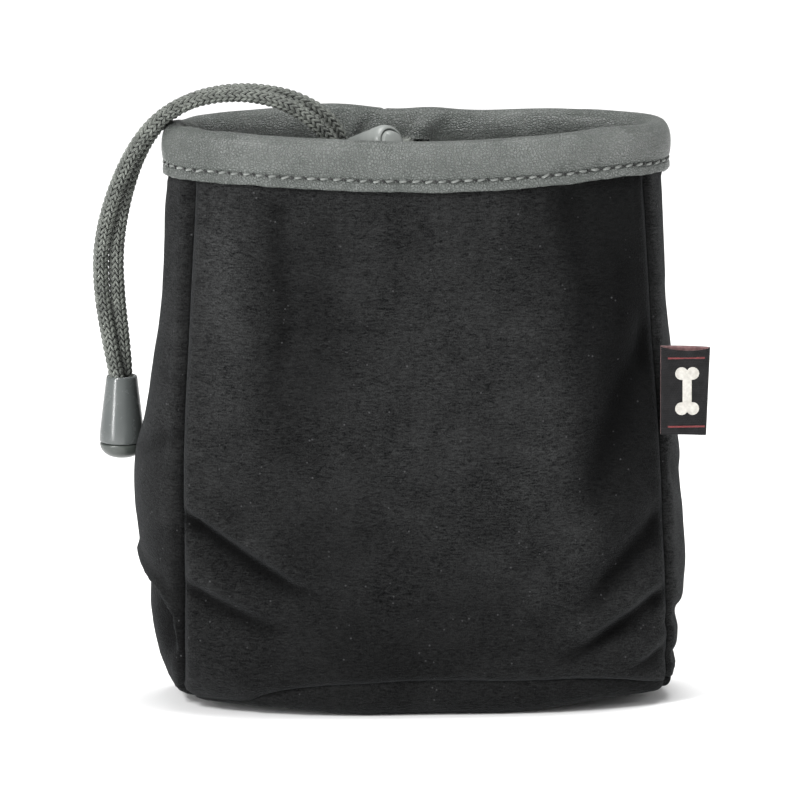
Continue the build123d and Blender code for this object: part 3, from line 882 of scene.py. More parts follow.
def side_wall(side, columns=64):
    """A gusset, from the back seam to the front one on the left, and the other way on the right."""
    share = np.linspace(0, 1, columns)
    low_front = base_seam_front(front_seam_x(4.0, side))
    toward_front = share if side < 0 else 1 - share
    z = wall_heights(BASE_SEAM_BACK + (low_front - BASE_SEAM_BACK) * smooth_step(0, 1, toward_front))
    y_front = -wall_depth(front_seam_x(z, side), z, front_depth(z))
    y_back = wall_depth(back_seam_x(z, side), z, back_depth(z))
    y = y_back + (y_front - y_back) * toward_front
    x = wall_width(y, z, side)
    creases, painted_lights = (LEFT_CREASES, LEFT_PAINTED_LIGHT) if side < 0 else (RIGHT_CREASES, RIGHT_PAINTED_LIGHT)
    reach, slant_and_painted_light = folds(y, z, creases, (), painted_lights)
    edge = np.minimum(y - y_front, y_back - y)
    return np.stack([x, y, z], -1), reach, edge, 1.0, slant_and_painted_light


def pushed(wall, seed, in_by):
    """The wall's points moved along its normals by its folds, seams and small unevenness, and its painted
    light and shade.
    """
    grid, reach, edge, wobble, slant_and_painted_light = wall
    x, y, z = (grid[..., k] for k in range(3))
    points = grid.reshape(-1, 3)
    uneven = cloth_wobble(points, seed).reshape(reach.shape) * wobble
    calm = smooth_step(WALL_TOP, WALL_TOP - 9, z) * smooth_step(0, 5, edge + 1.2)
    total = (reach + uneven) * calm + seam_pinch(edge, z, seed) * smooth_step(WALL_TOP, WALL_TOP - 6, z)
    gather = 0.16 * np.sin(x * 1.9 + 2.2 * np.sin(x * 0.37)) * smooth_step(106, 121, z)
    total = total + gather * smooth_step(WALL_TOP, WALL_TOP - 4, z)
    at_foot = seam_pinch(z - z[:1], x * 1.1 + y, seed + 1)
    total = total + 0.9 * at_foot * smooth_step(1.0, 4.0, z[:1])
    if in_by:
        total = np.minimum(total, total * 0.5 + 0.1) - in_by
    moved = grid + grid_normals(grid) * total[..., None]
    # Painted shade in the seam groove, with a faint ripple beside it.
    seam_painted_shade = 0.1 * np.sin(z * 0.9 + seed) * bump_at(edge, 2.5, 2.0) - 0.5 * bump_at(edge, 0, 0.9)
    cloudy = 0.16 * field_noise(points, 9.0, seed + 8).reshape(reach.shape)
    # Painted light and shade from the folds, zones and seams, plus cloudy random tone.
    return lifted(moved) * (FIT_X, FIT_Y, 1.0), slant_and_painted_light + seam_painted_shade + cloudy


def corner_rise(x):
    return RISE_LEFT * smooth_step(-11, -38, x) + RISE_RIGHT * smooth_step(15, 48, x)


def lifted(grid):
    """The bag stands on the middle of its base, with its ends a little clear of the floor."""
    rise = corner_rise(grid[..., 0]) * smooth_step(40, 0, grid[..., 2])
    return grid + rise[..., None] * (0, 0, 1)


def base_grid(walls, in_by):
    """The underside: from the seam at the foot of the walls, round the roll, and flat to the middle."""
    foot = np.concatenate([wall[0, :-1] for wall in walls])
    foot[:, 2] = np.maximum(foot[:, 2] - corner_rise(foot[:, 0]), 0.4)
    out = foot * (1, 1, 0)
    length = np.linalg.norm(out, axis=1)[:, None]
    inward = np.clip(foot[:, 2:3] * 0.62, 1.2, 6)
    grid = np.zeros((BASE_RINGS, len(foot), 3))
    for k in range(BASE_ROLL_RINGS):
        a = (k / (BASE_ROLL_RINGS - 1)) * math.pi / 2
        swell = math.sin(2 * a) * smooth_step(2, 8, foot[:, 2:3])
        plan = out * (1 - (inward / length) * (1 - math.cos(a))) * (1 + swell / length)
        grid[k, :, :2] = plan[:, :2]
        grid[k, :, 2] = (1 - math.sin(a)) * foot[:, 2]
    for k in range(BASE_ROLL_RINGS, BASE_RINGS):
        s = (k - BASE_ROLL_RINGS + 1) / (BASE_RINGS - BASE_ROLL_RINGS)
        grid[k] = out * (1 - inward / length) * (1 - s)
    grid = lifted(grid)
    grid[..., 2] += in_by
    grid[..., :2] *= 1 - in_by / 40.0
    return grid


def skin_mesh(name, grid, thickness, slant_and_painted_light, closed_columns=False):
    """A sheet of that thickness, laid inward from a grid of points, with its painted light and shade as a
    point attribute.
    """
    rows, columns = grid.shape[:2]
    uv = np.stack(np.meshgrid(np.linspace(0, 1, columns), np.linspace(0, 1, rows)), -1)
    obj = grid_mesh(name, grid * MM, closed_columns=closed_columns, uv=uv)
    middle_face = obj.data.polygons[len(obj.data.polygons) // 2]
    if middle_face.normal.dot(middle_face.center - BAG_MIDDLE) < 0:
        obj.data.flip_normals()
    layer = obj.data.attributes.new("slant_and_painted_light", "FLOAT", "POINT")
    layer.data.foreach_set("value", slant_and_painted_light.reshape(-1).astype(np.float32))
    modify(obj, "SOLIDIFY", thickness=thickness * MM, offset=-1.0)
    shade_smooth(obj.data)
    return obj


def make_bag():
    walls = {
        "left_gusset": (side_wall(-1), 11.0),
        "front_panel": (front_wall(), 3.0),
        "right_gusset": (side_wall(1), 17.0),
        "back_panel": (back_wall(), 23.0),
    }
    for coat, (thickness, in_by, material) in COATS.items():
        grids, painted_lights = {}, {}
        for name, (wall, seed) in walls.items():
            grids[name], painted_lights[name] = pushed(wall, seed, in_by)
        join_edges(list(grids.values()))
        for name, grid in grids.items():
            obj = skin_mesh(f"{coat}_{name}_cloth", grid, thickness, painted_lights[name])
            finish_piece(obj, MATERIALS[material], "bag", material, f"{coat}_{name}")
        order = ("front_panel", "right_gusset", "back_panel", "left_gusset")
        base = base_grid([grids[name] for name in order], in_by)
        # The base gets an even painted shade.
        slant_and_painted_light = np.full(base.shape[:2], BASE_PAINTED_SHADE)
        obj = skin_mesh(f"{coat}_base_panel_cloth", base, thickness, slant_and_painted_light, closed_columns=True)
        finish_piece(obj, MATERIALS[material], "bag", material, f"{coat}_base_panel")


def join_edges(grids):
    """Neighbouring walls share the line of their seam. The last wall is beside the first."""
    for k, grid in enumerate(grids):
        beside = grids[(k + 1) % len(grids)]
        seam = (grid[:, -1] + beside[:, 0]) / 2
        grid[:, -1] = seam
        beside[:, 0] = seam


# --- Rim binding ----------------------------------------------------------------------------------
RIM_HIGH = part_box("rim_binding")[1]
RIM_A, RIM_B, RIM_TOP = (float(v) / MM for v in RIM_HIGH)
RIM_FOOT = RIM_TOP - 11.4
RIM_N = 2.1
TAPE = 0.85
# Section of the folded tape, from its outer lower edge over the top to the inner one: inset and height.
TAPE_SKIN = [
    (0.62, 0.05), (0.22, 0.0), (0.06, 0.35), (0.08, 1.1), (0.2, 1.8), (0.5, 2.2), (0.82, 2.5), (0.5, 2.8),
    (0.16, 3.2), (-0.06, 4.1), (-0.18, 5.3), (-0.2, 6.6), (-0.12, 7.8), (0.1, 8.9), (0.55, 10.0),
    (1.2, 10.85), (2.05, 11.3), (3.0, 11.45), (3.95, 11.3), (4.8, 10.85), (5.5, 10.1), (5.95, 9.1),
    (6.2, 8.0), (6.3, 6.8), (6.25, 5.6), (6.05, 4.5), (5.7, 3.5), (5.4, 2.9), (5.25, 2.5), (5.4, 2.1),
    (5.55, 1.5), (5.55, 0.8), (5.4, 0.3), (5.1, 0.0),
]
TOP_POINT = 17
RIM_COLUMNS = 640
STITCH_Z = 2.5
STITCH_PITCH = 3.0
STITCH_SHARE = 0.62
STITCH_ROWS = ((0.42, 1), (5.42, -1))
NOTCH_X, NOTCH_HALF, NOTCH_HIGH = 0.4, 4.6, 4.8
BACK_SEAM_X = -6.2


def rim_angles(count):
    """Angles round the rim's outline that are evenly spaced along it, and its length."""
    angle = np.linspace(0, 2 * math.pi, 4001)
    x, y = rim_outline(angle, 0.0)
    run = np.concatenate([[0], np.cumsum(np.hypot(np.diff(x), np.diff(y)))])
    return np.interp(np.linspace(0, run[-1], count, endpoint=False), run, angle), run[-1]


def rim_outline(angle, inset):
    c, s = np.cos(angle), np.sin(angle)
    x = (RIM_A - inset) * np.sign(c) * np.abs(c) ** (2 / RIM_N)
    y = (RIM_B - inset) * np.sign(s) * np.abs(s) ** (2 / RIM_N)
    return x, y


def offset_profile(profile, by):
    points = np.array(profile, float)
    tangent = np.gradient(points, axis=0)
    normal = np.stack([tangent[:, 1], -tangent[:, 0]], -1)
    normal /= np.linalg.norm(normal, axis=1)[:, None]
    return points + normal * by


def loop_noise(angle, waves, seed):
    """Smooth noise round the rim that closes on itself."""
    radius = waves / (2 * math.pi)
    return np.array([noise.noise(Vector((math.cos(a) * radius, math.sin(a) * radius, seed))) for a in angle])


def rim_sway(x, y):
    """How far the whole rim rises or dips, at a place on its outline."""
    front, back = smooth_step(-2, -14, y), smooth_step(2, 14, y)
    ahead = 0.55 * bump_at(x, 46, 10) - 1.05 * bump_at(x, 3, 27) + 0.25 * bump_at(x, -44, 9)
    behind = -1.1 * bump_at(x, 14, 16) - 0.55 * bump_at(x, -12, 8)
    return front * ahead + back * behind


def stitch_pull(angle, run, height, outer, inner):
    """Inset of the tape where the stitches pull it in, below and just above their row."""
    s = np.arange(len(angle)) * run / len(angle)
    slide = (STITCH_Z - height) * 0.75
    beat = np.abs(np.sin(math.pi * (s + slide) / STITCH_PITCH)) ** 0.7
    strength = 0.55 + 0.6 * loop_noise(angle, 60, 4.0)
    below = height < STITCH_Z
    flap = outer & below
    above = outer & ~below & (height < 4.6)
    return (flap * (0.16 - 0.34 * beat * strength) * smooth_step(2.6, 1.2, height)
            + above * 0.1 * (0.5 - beat) * smooth_step(4.6, 2.6, height)
            + (inner & below) * 0.2 * (beat - 0.5))


def back_wrinkles(x, height):
    """Slanted gathers on the inner side of the tape's back."""
    return (0.6 * np.sin(0.85 * (x - height * 0.75) + 0.6) * bump_at(x, -13, 4.6)
            + 0.75 * np.sin(0.62 * (x - height * 0.6) + 1.9) * bump_at(x, 3.5, 6.5)
            + 0.3 * np.sin(0.45 * (x + height * 0.8)) * bump_at(x, 26, 12)
            + 0.2 * np.sin(0.5 * (x - height * 0.7) + 0.9) * bump_at(x, -32, 10))


def rim_shape(angle, run):
    """The tape's outer skin, as inset and height for each profile point and column."""
    skin = np.array(TAPE_SKIN)
    inset, height = (np.repeat(skin[:, k:k + 1], len(angle), axis=1) for k in (0, 1))
    x, y = rim_outline(angle, 0.0)
    rows = np.arange(len(skin))[:, None]
    outer, inner = rows < TOP_POINT - 3, rows > TOP_POINT + 2
    inset = inset + stitch_pull(angle, run, height, outer, inner)
    edge = (height < 0.6) * 1.0
    height = height + edge * (0.28 * loop_noise(angle, 44, 9.0) + 0.12 * loop_noise(angle, 120, 2.0))
    top = smooth_step(5.0, 10.5, height)
    height = height + top * (0.34 * loop_noise(angle, 9, 1.0) + 0.10 * loop_noise(angle, 34, 6.0))
    inset = inset + outer * smooth_step(2.8, 5, height) * 0.16 * loop_noise(angle, 24, 12.0)
    back = smooth_step(2, 12, y)
    lift = (0.9 * bump_at(x, -17, 9) - 0.5 * bump_at(x, -4, 6)
            + 0.3 * bump_at(x, 6, 5) - 0.55 * bump_at(x, 34, 20))
    height = height + top * back * lift
    soft = 0.22 * loop_noise(angle, 30, 21.0) + 0.05 * loop_noise(angle, 95, 31.0)
    between = smooth_step(2.6, 4.5, height) * smooth_step(11.2, 9, height)
    inset = inset + inner * between * (back_wrinkles(x, height) * back + soft)
    left_end = bump_at(x, -55.5, 3.2)
    curl = 0.7 * np.sin(1.5 * y + 0.25 * height) * left_end
    inset = inset + inner * smooth_step(3, 6, height) * curl
    height = height + top * 0.35 * left_end * np.sin(0.55 * y)
    seam = back * bump_at(x + (height - 11.0) * 0.12, BACK_SEAM_X, 0.42)
    inset = inset + smooth_step(4.5, 7, height) * seam * np.where(inner, 0.5, 0.3)
    height = height - top * seam * 0.25
    return inset, height + rim_sway(x, y)


def rim_faces(rows, open_row, open_column):
    """Faces of the closed tape, with the notch left out and its three cut edges closed."""
    total = 2 * rows
    cut = set(open_row) | {total - 2 - k for k in open_row if total - 2 - k >= rows}
    faces = []
    for r, c in np.ndindex(total, RIM_COLUMNS):
        after, below = (c + 1) % RIM_COLUMNS, (r + 1) % total
        if not (r in cut and open_column[c] and open_column[after]):
            faces.append((r * RIM_COLUMNS + c, r * RIM_COLUMNS + after,
                          below * RIM_COLUMNS + after, below * RIM_COLUMNS + c))
    columns = np.flatnonzero(open_column)
    first, last = columns.min(), columns.max()
    low = open_row[0]
    for k in range(low, rows - 1):
        for c, turn in ((first, 1), (last, -1)):
            corners = (k, k + 1, total - k - 2, total - k - 1)
            faces.append(tuple(r * RIM_COLUMNS + c for r in corners)[::turn])
    here, across = low * RIM_COLUMNS, (total - 1 - low) * RIM_COLUMNS
    faces += [(across + c, across + c + 1, here + c + 1, here + c) for c in range(first, last)]
    return faces


def rim_binding_tape():
    angle, run = rim_angles(RIM_COLUMNS)
    inset, height = rim_shape(angle, run)
    skin = np.array(TAPE_SKIN)
    slim = offset_profile(skin, TAPE) - skin
    under_inset, under_height = inset + slim[:, 0:1], height + slim[:, 1:2]
    under_height[[0, -1]] = height[[0, -1]] + 0.05
    under_height[1] = height[1] + 0.35
    inset = np.concatenate([inset, under_inset[::-1]])
    height = np.concatenate([height, under_height[::-1]])
    grid = np.stack([*rim_outline(angle, inset), RIM_FOOT + height], -1)
    x, y = rim_outline(angle, 0.0)
    open_column = (y > 0) & (np.abs(x - NOTCH_X) < NOTCH_HALF)
    open_row = [k for k in range(TOP_POINT + 2, len(skin)) if skin[k, 1] < NOTCH_HIGH]
    faces = rim_faces(len(skin), open_row, open_column)
    return new_mesh("rim_binding_tape", grid.reshape(-1, 3) * MM, faces), run


def small_stitch(middle, reach, out, radius, arch, rings=6, sides=6):
    """One thread stitch, in millimetres, reaching both ways from its middle and bowed outward."""
    t = np.linspace(0, 1, rings)
    start, end = (middle - reach) * MM, (middle + reach) * MM
    long = np.linalg.norm(end - start)
    line = start * (1 - t[:, None]) + end * t[:, None]
    line = line + out * ((arch * np.sin(math.pi * t) - 0.35 * radius) * MM)[:, None]
    side = np.cross((end - start) / long, out)
    around = np.linspace(0, 2 * math.pi, sides, endpoint=False)
    thick = radius * MM * (0.55 + 0.45 * np.sin(math.pi * t) ** 0.5)
    ring = out * np.cos(around)[:, None] + side * np.sin(around)[:, None]
    grid = line[:, None, :] + ring[None] * thick[:, None, None]
    return grid, tube_faces(rings, sides), tube_uv(around, t * long, grid.shape[:2])


def rim_stitches(run):
    """Two rows of stitches, outside and inside the binding, and the needle holes between them, drawn as
    near-black tubes of painted shade.
    """
    parts, needle_hole_shades = [], []
    angle, _ = rim_angles(int(run / STITCH_PITCH))
    for inset, sign in STITCH_ROWS:
        for a in angle:
            x, y = rim_outline(np.array([a, a + 2e-3]), inset)
            tangent = np.array([x[1] - x[0], y[1] - y[0], 0.0])
            tangent /= np.linalg.norm(tangent)
            out = np.array([tangent[1], -tangent[0], 0.0]) * sign
            level = RIM_FOOT + STITCH_Z + RNG.normal(0, 0.05) + float(rim_sway(x[0], y[0]))
            middle = np.array([x[0], y[0], level])
            tilt = math.tan(math.radians(8 + RNG.normal(0, 5)))
            half = STITCH_PITCH * STITCH_SHARE / 2 * (1 + RNG.normal(0, 0.04))
            parts.append(small_stitch(middle, tangent * half + (0, 0, half * tilt), out, 0.33, 0.2))
            # Each needle hole: a small near-black tube, painted shade in the hole.
            hole = middle + tangent * STITCH_PITCH / 2 + out * 0.05
            needle_hole_shades.append(small_stitch(hole, tangent * 0.34 - (0, 0, 0.26), out, 0.27, 0.0))
    return join_parts("binding_thread_stitches", parts + needle_hole_shades), sum(len(part[1]) for part in parts)


def make_rim():
    tape, run = rim_binding_tape()
    finish_piece(tape, MATERIALS["tape"], "bag", "binding", "rim_binding")
    stitches, sewn = rim_stitches(run)
    finish_piece(stitches, MATERIALS["thread"], "bag", "thread", "binding_thread")
    # The needle holes take the near-black painted shade material.
    two_materials(stitches, MATERIALS["thread"], MATERIALS["painted_shade_core"], sewn)


# --- Cord end -------------------------------------------------------------------------------------
BELL_PROFILE = [
    (2.45, -3.6), (2.5, -0.9), (2.62, -0.35), (2.85, -0.08), (3.12, 0.0), (3.38, -0.08), (3.56, -0.35),
    (3.66, -0.9), (3.95, -3.4), (4.32, -6.4), (4.68, -9.4), (4.98, -12.0), (5.1, -13.3), (5.16, -14.4),
    (5.16, -15.1), (5.1, -15.4), (4.95, -15.52), (4.6, -15.55), (4.1, -15.5), (3.9, -15.2), (3.9, -12.0),
    (3.3, -7.0),
]
PLUG_PROFILE = [
    (0.0, -14.6), (3.4, -14.6), (3.85, -14.8), (3.85, -15.6), (4.75, -15.66), (5.0, -15.74), (5.1, -16.0),
    (5.02, -16.6), (4.7, -17.4), (4.1, -18.15), (3.2, -18.75), (2.1, -19.1), (1.0, -19.24), (0.0, -19.27),
]
TURN_SIDES = 72


def turned(name, profile, middle, closed):
    """A turned piece round an upright axis through middle. Profile points are radius and height."""
    around = np.linspace(0, 2 * math.pi, TURN_SIDES, endpoint=False)
    grid = np.array([[(r * math.cos(a), r * math.sin(a), z) for a in around] for r, z in profile])
    obj = grid_mesh(name, grid * MM + middle, closed_rows=closed, closed_columns=True)
    modify(obj, "WELD", merge_threshold=1e-6)
    return obj


def make_cord_end():
    low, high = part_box("cord_end_bell")
    middle = np.array([(low[0] + high[0]) / 2, (low[1] + high[1]) / 2, high[2]])
    bell = turned("cord_end_bell_shell", BELL_PROFILE, middle, True)
    modify(bell, "SUBSURF", levels=1, render_levels=1)
    finish_piece(bell, MATERIALS["bell"], "cord_end", "cord_plastic", "cord_end_bell")
    plug = turned("cord_end_plug_dome", PLUG_PROFILE, middle, False)
    modify(plug, "SUBSURF", levels=1, render_levels=1)
    finish_piece(plug, MATERIALS["plug"], "cord_end", "plug_plastic", "cord_end_plug")


# --- Cord lock ------------------------------------------------------------------------------------
LOCK_AT = Vector((-10.2, 4.6, 124.2))
LOCK_UP = Vector((0.62, -0.68, 0.39)).normalized()
LOCK_CORD = Vector((-0.72, -0.69, -0.06))
# Profiles of the barrel and the button: share of the full section, and height. Sections are half sizes.
LOCK_BODY = [
    (0.0, -11.0), (0.55, -11.0), (0.9, -10.6), (1.0, -9.4), (1.0, 6.3), (0.98, 7.1), (0.93, 7.8),
    (0.86, 8.25), (0.80, 8.35), (0.77, 8.2), (0.77, -3.0), (0.77, -9.4), (0.0, -9.6),
]
LOCK_BUTTON = [
    (0.0, -3.6), (0.9, -3.6), (1.0, -3.2), (1.0, 7.2), (0.97, 8.2), (0.88, 8.95), (0.7, 9.3), (0.4, 9.42),
    (0.0, 9.45),
]
BODY_SECTION, BUTTON_SECTION = (4.5, 6.5), (3.3, 4.9)
# Cord holes: width, height, height of the middle, and corner rounding. The button's is taller by its travel.
BODY_HOLE, BUTTON_HOLE = (8.6, 4.4, 0.0, 1.87), (8.9, 9.6, 2.0, 0.8)
HOLE_LENGTH = 20.0
LOCK_SHARP_ANGLE = 38
def lock_matrix():
    z = LOCK_UP
    x = (LOCK_CORD - z * LOCK_CORD.dot(z)).normalized()
    y = z.cross(x)
    turn = Matrix((x, y, z)).transposed().to_4x4()
    return Matrix.Translation(LOCK_AT * MM) @ turn


def oval_bar(name, section, profile, sides=72):
    """A bar of oval section along local Z."""
    half_depth, half_width = section
    around = np.linspace(0, 2 * math.pi, sides, endpoint=False)
    sine = np.sin(around)
    straight = (half_width - half_depth) * np.copysign(np.minimum(1, np.abs(sine) * 2.2), sine)
    ring = np.stack([half_depth * np.cos(around), half_depth * sine + straight], -1)
    rows = [np.column_stack([ring * share, np.full(sides, z)]) for share, z in profile]
    obj = grid_mesh(name, np.array(rows) * MM, closed_columns=True)
    modify(obj, "WELD", merge_threshold=1e-6)
    return obj


def cut_hole(obj, width, height, middle, corner):
    """Cuts a hole with rounded corners through a bar, along local X."""
    x, y, z = (v * MM / 2 for v in (HOLE_LENGTH, width, height))
    corners = [(i * x, j * y, k * z + middle * MM) for i in (-1, 1) for j in (-1, 1) for k in (-1, 1)]
    faces = [(0, 1, 3, 2), (4, 6, 7, 5), (0, 4, 5, 1), (2, 3, 7, 6), (0, 2, 6, 4), (1, 5, 7, 3)]
    tool = new_mesh("hole_tool", corners, faces, smooth=False)
    bevel = tool.modifiers.new("bevel", "BEVEL")
    bevel.width = corner * MM
    bevel.segments = 6
    modify(obj, "BOOLEAN", object=tool, operation="DIFFERENCE", solver="EXACT")
    bpy.data.objects.remove(tool)


def make_lock():
    place = lock_matrix()
    body = oval_bar("cord_lock_barrel", BODY_SECTION, LOCK_BODY)
    cut_hole(body, *BODY_HOLE)
    button = oval_bar("cord_lock_button", BUTTON_SECTION, LOCK_BUTTON)
    cut_hole(button, *BUTTON_HOLE)
    for obj, node, rides in ((body, "cord_lock_body", "cord_lock"),
                             (button, "cord_lock_plunger", "lock_button")):
        obj.data.transform(place)
        shade_smooth(obj.data)
        obj.data.set_sharp_from_angle(angle=math.radians(LOCK_SHARP_ANGLE))
        finish_piece(obj, MATERIALS["lock"], rides, "lock_plastic", node)


# --- Side label -----------------------------------------------------------------------------------
LABEL_TAPE = 0.36
LABEL_ROWS, LEG_STEPS, FOLD_STEPS = 46, 22, 11
LABEL_LOW, LABEL_HIGH = (np.array(corner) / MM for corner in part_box("side_tag"))
LABEL_WIDTH, LABEL_THICK, LABEL_TALL = LABEL_HIGH - LABEL_LOW
LABEL_MIDDLE_Y = (LABEL_LOW[1] + LABEL_HIGH[1]) / 2
LABEL_FOLD = LABEL_THICK / 2 - LABEL_TAPE / 2


def label_sway(share, out):
    """How far the label leans back at a share of its height, growing with the distance out."""
    return 0.22 * np.sin(share * 2.6 + 0.4) * out / LABEL_WIDTH


def label_fold():
    """The folded tape seen from above: a front leg, the fold and a back leg."""
    half = LABEL_THICK / 2
    leg = np.linspace(0, LABEL_WIDTH - half - 0.2, LEG_STEPS + 1)
    turn = np.linspace(0.15, math.pi - 0.15, FOLD_STEPS)
    fold = np.stack([leg[-1] + half * np.sin(turn), -LABEL_FOLD * np.cos(turn)], -1)
    front, back = (np.stack([leg, np.full(len(leg), y)], -1) for y in (-LABEL_FOLD, LABEL_FOLD))
    return np.concatenate([front, fold, back[::-1]])


def make_label():
    """The folded tape, a little open at its top, with its paler backing inside."""
    line = label_fold()
    out, across = line[:, 0], line[:, 1]
    run = np.concatenate([[0], np.cumsum(np.linalg.norm(np.diff(line, axis=0), axis=1))])
    height = np.linspace(0, LABEL_TALL, LABEL_ROWS)[:, None]
    share = height / LABEL_TALL
    belly = np.sin(np.clip(out / LABEL_WIDTH, 0, 1) * math.pi) ** 0.7
    open_top = smooth_step(0.62, 1.0, share)
    front_leg = smooth_step(0.1, -0.3, across)
    x = LABEL_LOW[0] + out - 0.9 * (1 - share) * out / LABEL_WIDTH
    y = LABEL_MIDDLE_Y + across * (1 + 0.25 * open_top * belly) + label_sway(share, out)
    droop = front_leg * belly * share ** 4 + (out / LABEL_WIDTH) ** 2 * (0.3 + 0.15 * share)
    grid = np.stack([x, y, LABEL_LOW[2] + height - droop], -1)
    uv = np.stack(np.broadcast_arrays(run * MM, height * MM), -1)
    tag = grid_mesh("side_label_tape", grid * MM, uv=uv)
    modify(tag, "SOLIDIFY", thickness=LABEL_TAPE * MM, offset=0.0)
    shade_smooth(tag.data)
    finish_piece(tag, MATERIALS["label"], "label", "label", "side_tag")
    tag.data.materials.append(MATERIALS["backing"])
    for polygon in tag.data.polygons:
        off = polygon.center.y / MM - LABEL_MIDDLE_Y
        if abs(off) < LABEL_FOLD and polygon.normal.y * off < 0:
            polygon.material_index = 1
    make_label_motif()
def flat_shape(name, outline, thickness, material):
    """A flat shape with a rounded edge on the label's front. Outline points are x and z."""
    outline = np.array(outline)
    count = len(outline)
    along = np.roll(outline, -1, axis=0) - np.roll(outline, 1, axis=0)
    inward = np.stack([-along[:, 1], along[:, 0]], -1)
    inward /= np.linalg.norm(inward, axis=1)[:, None]
    front = LABEL_MIDDLE_Y - LABEL_FOLD - LABEL_TAPE / 2 - 0.02
    rings = []
    for inset, lift in ((0.0, 0.0), (0.0, 0.6), (0.09, 1.0)):
        x, z = (outline + inward * inset).T
        sway = label_sway((z - LABEL_LOW[2]) / LABEL_TALL, x - LABEL_LOW[0])
        rings.append(np.stack([x, front - thickness * lift + sway, z - 0.2], -1))
    faces = grid_faces(3, count, closed_columns=True)
    faces.append(tuple(range(2 * count, 3 * count)))
    faces.append(tuple(range(count - 1, -1, -1)))
    obj = new_mesh(name, np.concatenate(rings) * MM, faces, smooth=False)
    finish_piece(obj, material, "label", "label")


def bone_outline(length, waist, knob, steps=11):
    """A biscuit bone standing upright: two knobs at each end of a narrower bar."""
    spread = knob * 0.85
    meet = math.acos(-spread / knob)
    root = math.acos((waist - spread) / knob)
    points = []
    for way_x, way_z, first, last in ((1, 1, -root, meet), (-1, 1, math.pi - meet, math.pi + root),
                                      (-1, -1, math.pi - root, math.pi + meet), (1, -1, -meet, root)):
        for a in np.linspace(first, last, steps):
            z = way_z * (length / 2 - knob) + knob * math.sin(a)
            points.append((way_x * spread + knob * math.cos(a), z))
    return np.array(points)


def make_label_motif():
    centre = (LABEL_LOW[0] + LABEL_WIDTH * 0.53, LABEL_LOW[2] + LABEL_TALL * 0.5)
    flat_shape("side_label_bone", bone_outline(11.2, 1.05, 1.5) + centre, 0.14, MATERIALS["motif"])
    x0, x1 = LABEL_LOW[0] + 1.6, LABEL_LOW[0] + LABEL_WIDTH - 1.3
    for index, z in enumerate((LABEL_LOW[2] + 2.0, LABEL_LOW[2] + LABEL_TALL - 2.6)):
        bar = [(x0, z - 0.2), (x1, z - 0.2), (x1, z + 0.2), (x0, z + 0.2)]
        flat_shape(f"side_label_line_{index + 1}", bar, 0.1, MATERIALS["trim"])


# --- Back patch -----------------------------------------------------------------------------------
PATCH_CORNER, PATCH_BODY = 4.0, 1.15
PATCH_STITCH_IN, PATCH_PITCH = 2.4, 3.0
# Rings of the patch from its edge inward: share of its size, and how far the rounded edge is sunk.
PATCH_RINGS = [
    (1.0, 0.5), (0.994, 0.12), (0.975, 0.0), (0.9, 0.0), (0.75, 0.0), (0.55, 0.0), (0.3, 0.0), (0.05, 0.0),
]


def rounded_rectangle(half_x, half_z, radius, steps=9):
    points = []
    for quarter, (way_x, way_z) in enumerate(((1, 1), (-1, 1), (-1, -1), (1, -1))):
        for a in np.linspace(quarter * math.pi / 2, (quarter + 1) * math.pi / 2, steps):
            x = way_x * (half_x - radius) + radius * math.cos(a)
            points.append((x, way_z * (half_z - radius) + radius * math.sin(a)))
    return np.array(points)


def along_outline(points, count):
    """Evenly spaced points on a closed outline, with the direction of travel there."""
    closed = np.vstack([points, points[:1]])
    run = np.concatenate([[0], np.cumsum(np.linalg.norm(np.diff(closed, axis=0), axis=1))])
    at = np.linspace(0, run[-1], count, endpoint=False)
    place = np.stack([np.interp(at, run, closed[:, k]) for k in (0, 1)], -1)
    ahead = np.stack([np.interp((at + 0.3) % run[-1], run, closed[:, k]) for k in (0, 1)], -1)
    way = ahead - place
    return place, way / np.linalg.norm(way, axis=1)[:, None]


def patch_depth(x, z):
    """Distance of the CAD patch's outer face from the middle plane, at a place on it."""
    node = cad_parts["back_patch"]
    turn = node.matrix_world.inverted()
    origin, aim = turn @ Vector((x * MM, 0.08, z * MM)), turn.to_3x3() @ Vector((0, -1, 0))
    hit, place, _, _ = node.ray_cast(origin, aim)
    return (node.matrix_world @ place).y / MM if hit else np.nan


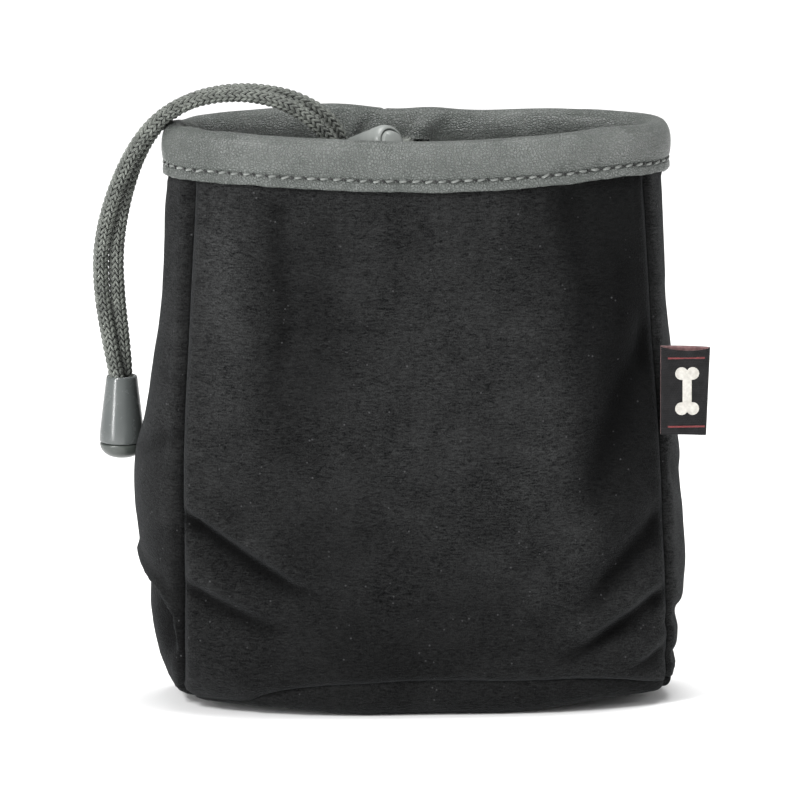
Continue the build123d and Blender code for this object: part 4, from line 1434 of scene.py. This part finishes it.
def patch_surface(low, high):
    """The CAD patch's outer face as a smooth function of x and z."""
    heights = np.linspace(low[2] + 0.3, high[2] - 0.3, 40)
    widths = np.linspace(low[0] + 0.3, high[0] - 0.3, 9)
    depths = np.array([[patch_depth(x, z) for x in widths] for z in heights])
    level = np.nanmax(depths, axis=1)
    drop = np.nanmean(depths - level[:, None], axis=0)
    return lambda x, z: np.interp(z, heights, level) + np.interp(x, widths, drop)


def make_patch():
    low, high = np.array(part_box("back_patch")) / MM
    middle_x, _, middle_z = (low + high) / 2
    half_x, _, half_z = (high - low) / 2
    face = patch_surface(low, high)
    outline, _ = along_outline(rounded_rectangle(half_x, half_z, PATCH_CORNER), 160)
    rings = []
    for share, sunk in PATCH_RINGS:
        x, z = middle_x + outline[:, 0] * share, middle_z + outline[:, 1] * share
        channel = 0.28 * bump_at(half_x * (1 - share), PATCH_STITCH_IN, 0.7)
        rings.append(np.stack([x, face(x, z) - sunk - channel, z], -1))
    patch = grid_mesh("back_patch_leather", np.array(rings) * MM, closed_columns=True)
    inward = -1.0 if patch.data.polygons[0].normal.y > 0 else 1.0
    modify(patch, "SOLIDIFY", thickness=PATCH_BODY * MM, offset=inward)
    finish_piece(patch, MATERIALS["patch"], "bag", "binding", "back_patch")
    inner = rounded_rectangle(half_x - PATCH_STITCH_IN, half_z - PATCH_STITCH_IN, PATCH_CORNER - 1.5)
    place, way = along_outline(inner, int(4 * (half_x + half_z - 2 * PATCH_STITCH_IN) / PATCH_PITCH))
    parts = []
    for (x, z), (dx, dz) in zip(place + (middle_x, middle_z), way):
        middle = np.array([x, float(face(x, z)) - 0.05, z])
        reach = np.array([dx, 0.0, dz]) * PATCH_PITCH * STITCH_SHARE / 2
        parts.append(small_stitch(middle, reach, np.array([0.0, 1.0, 0.0]), 0.3, 0.18))
    finish_piece(join_parts("back_patch_stitches", parts), MATERIALS["thread"], "bag", "thread")


def soften_clip():
    """Small worn edges on the bent strip and the rivets."""
    for name, width in (("belt_clip", 0.28), ("clip_rivets", 0.5)):
        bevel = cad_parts[name].modifiers.new("worn_edge", "BEVEL")
        bevel.width = width * MM
        bevel.segments = 3
        bevel.limit_method = "ANGLE"
        bevel.angle_limit = math.radians(40)


make_camera()
make_floor()
make_lights()
make_cords()
make_rim()
make_bag()
make_cord_end()
make_lock()
make_label()
make_patch()
soften_clip()
dress_nodes()
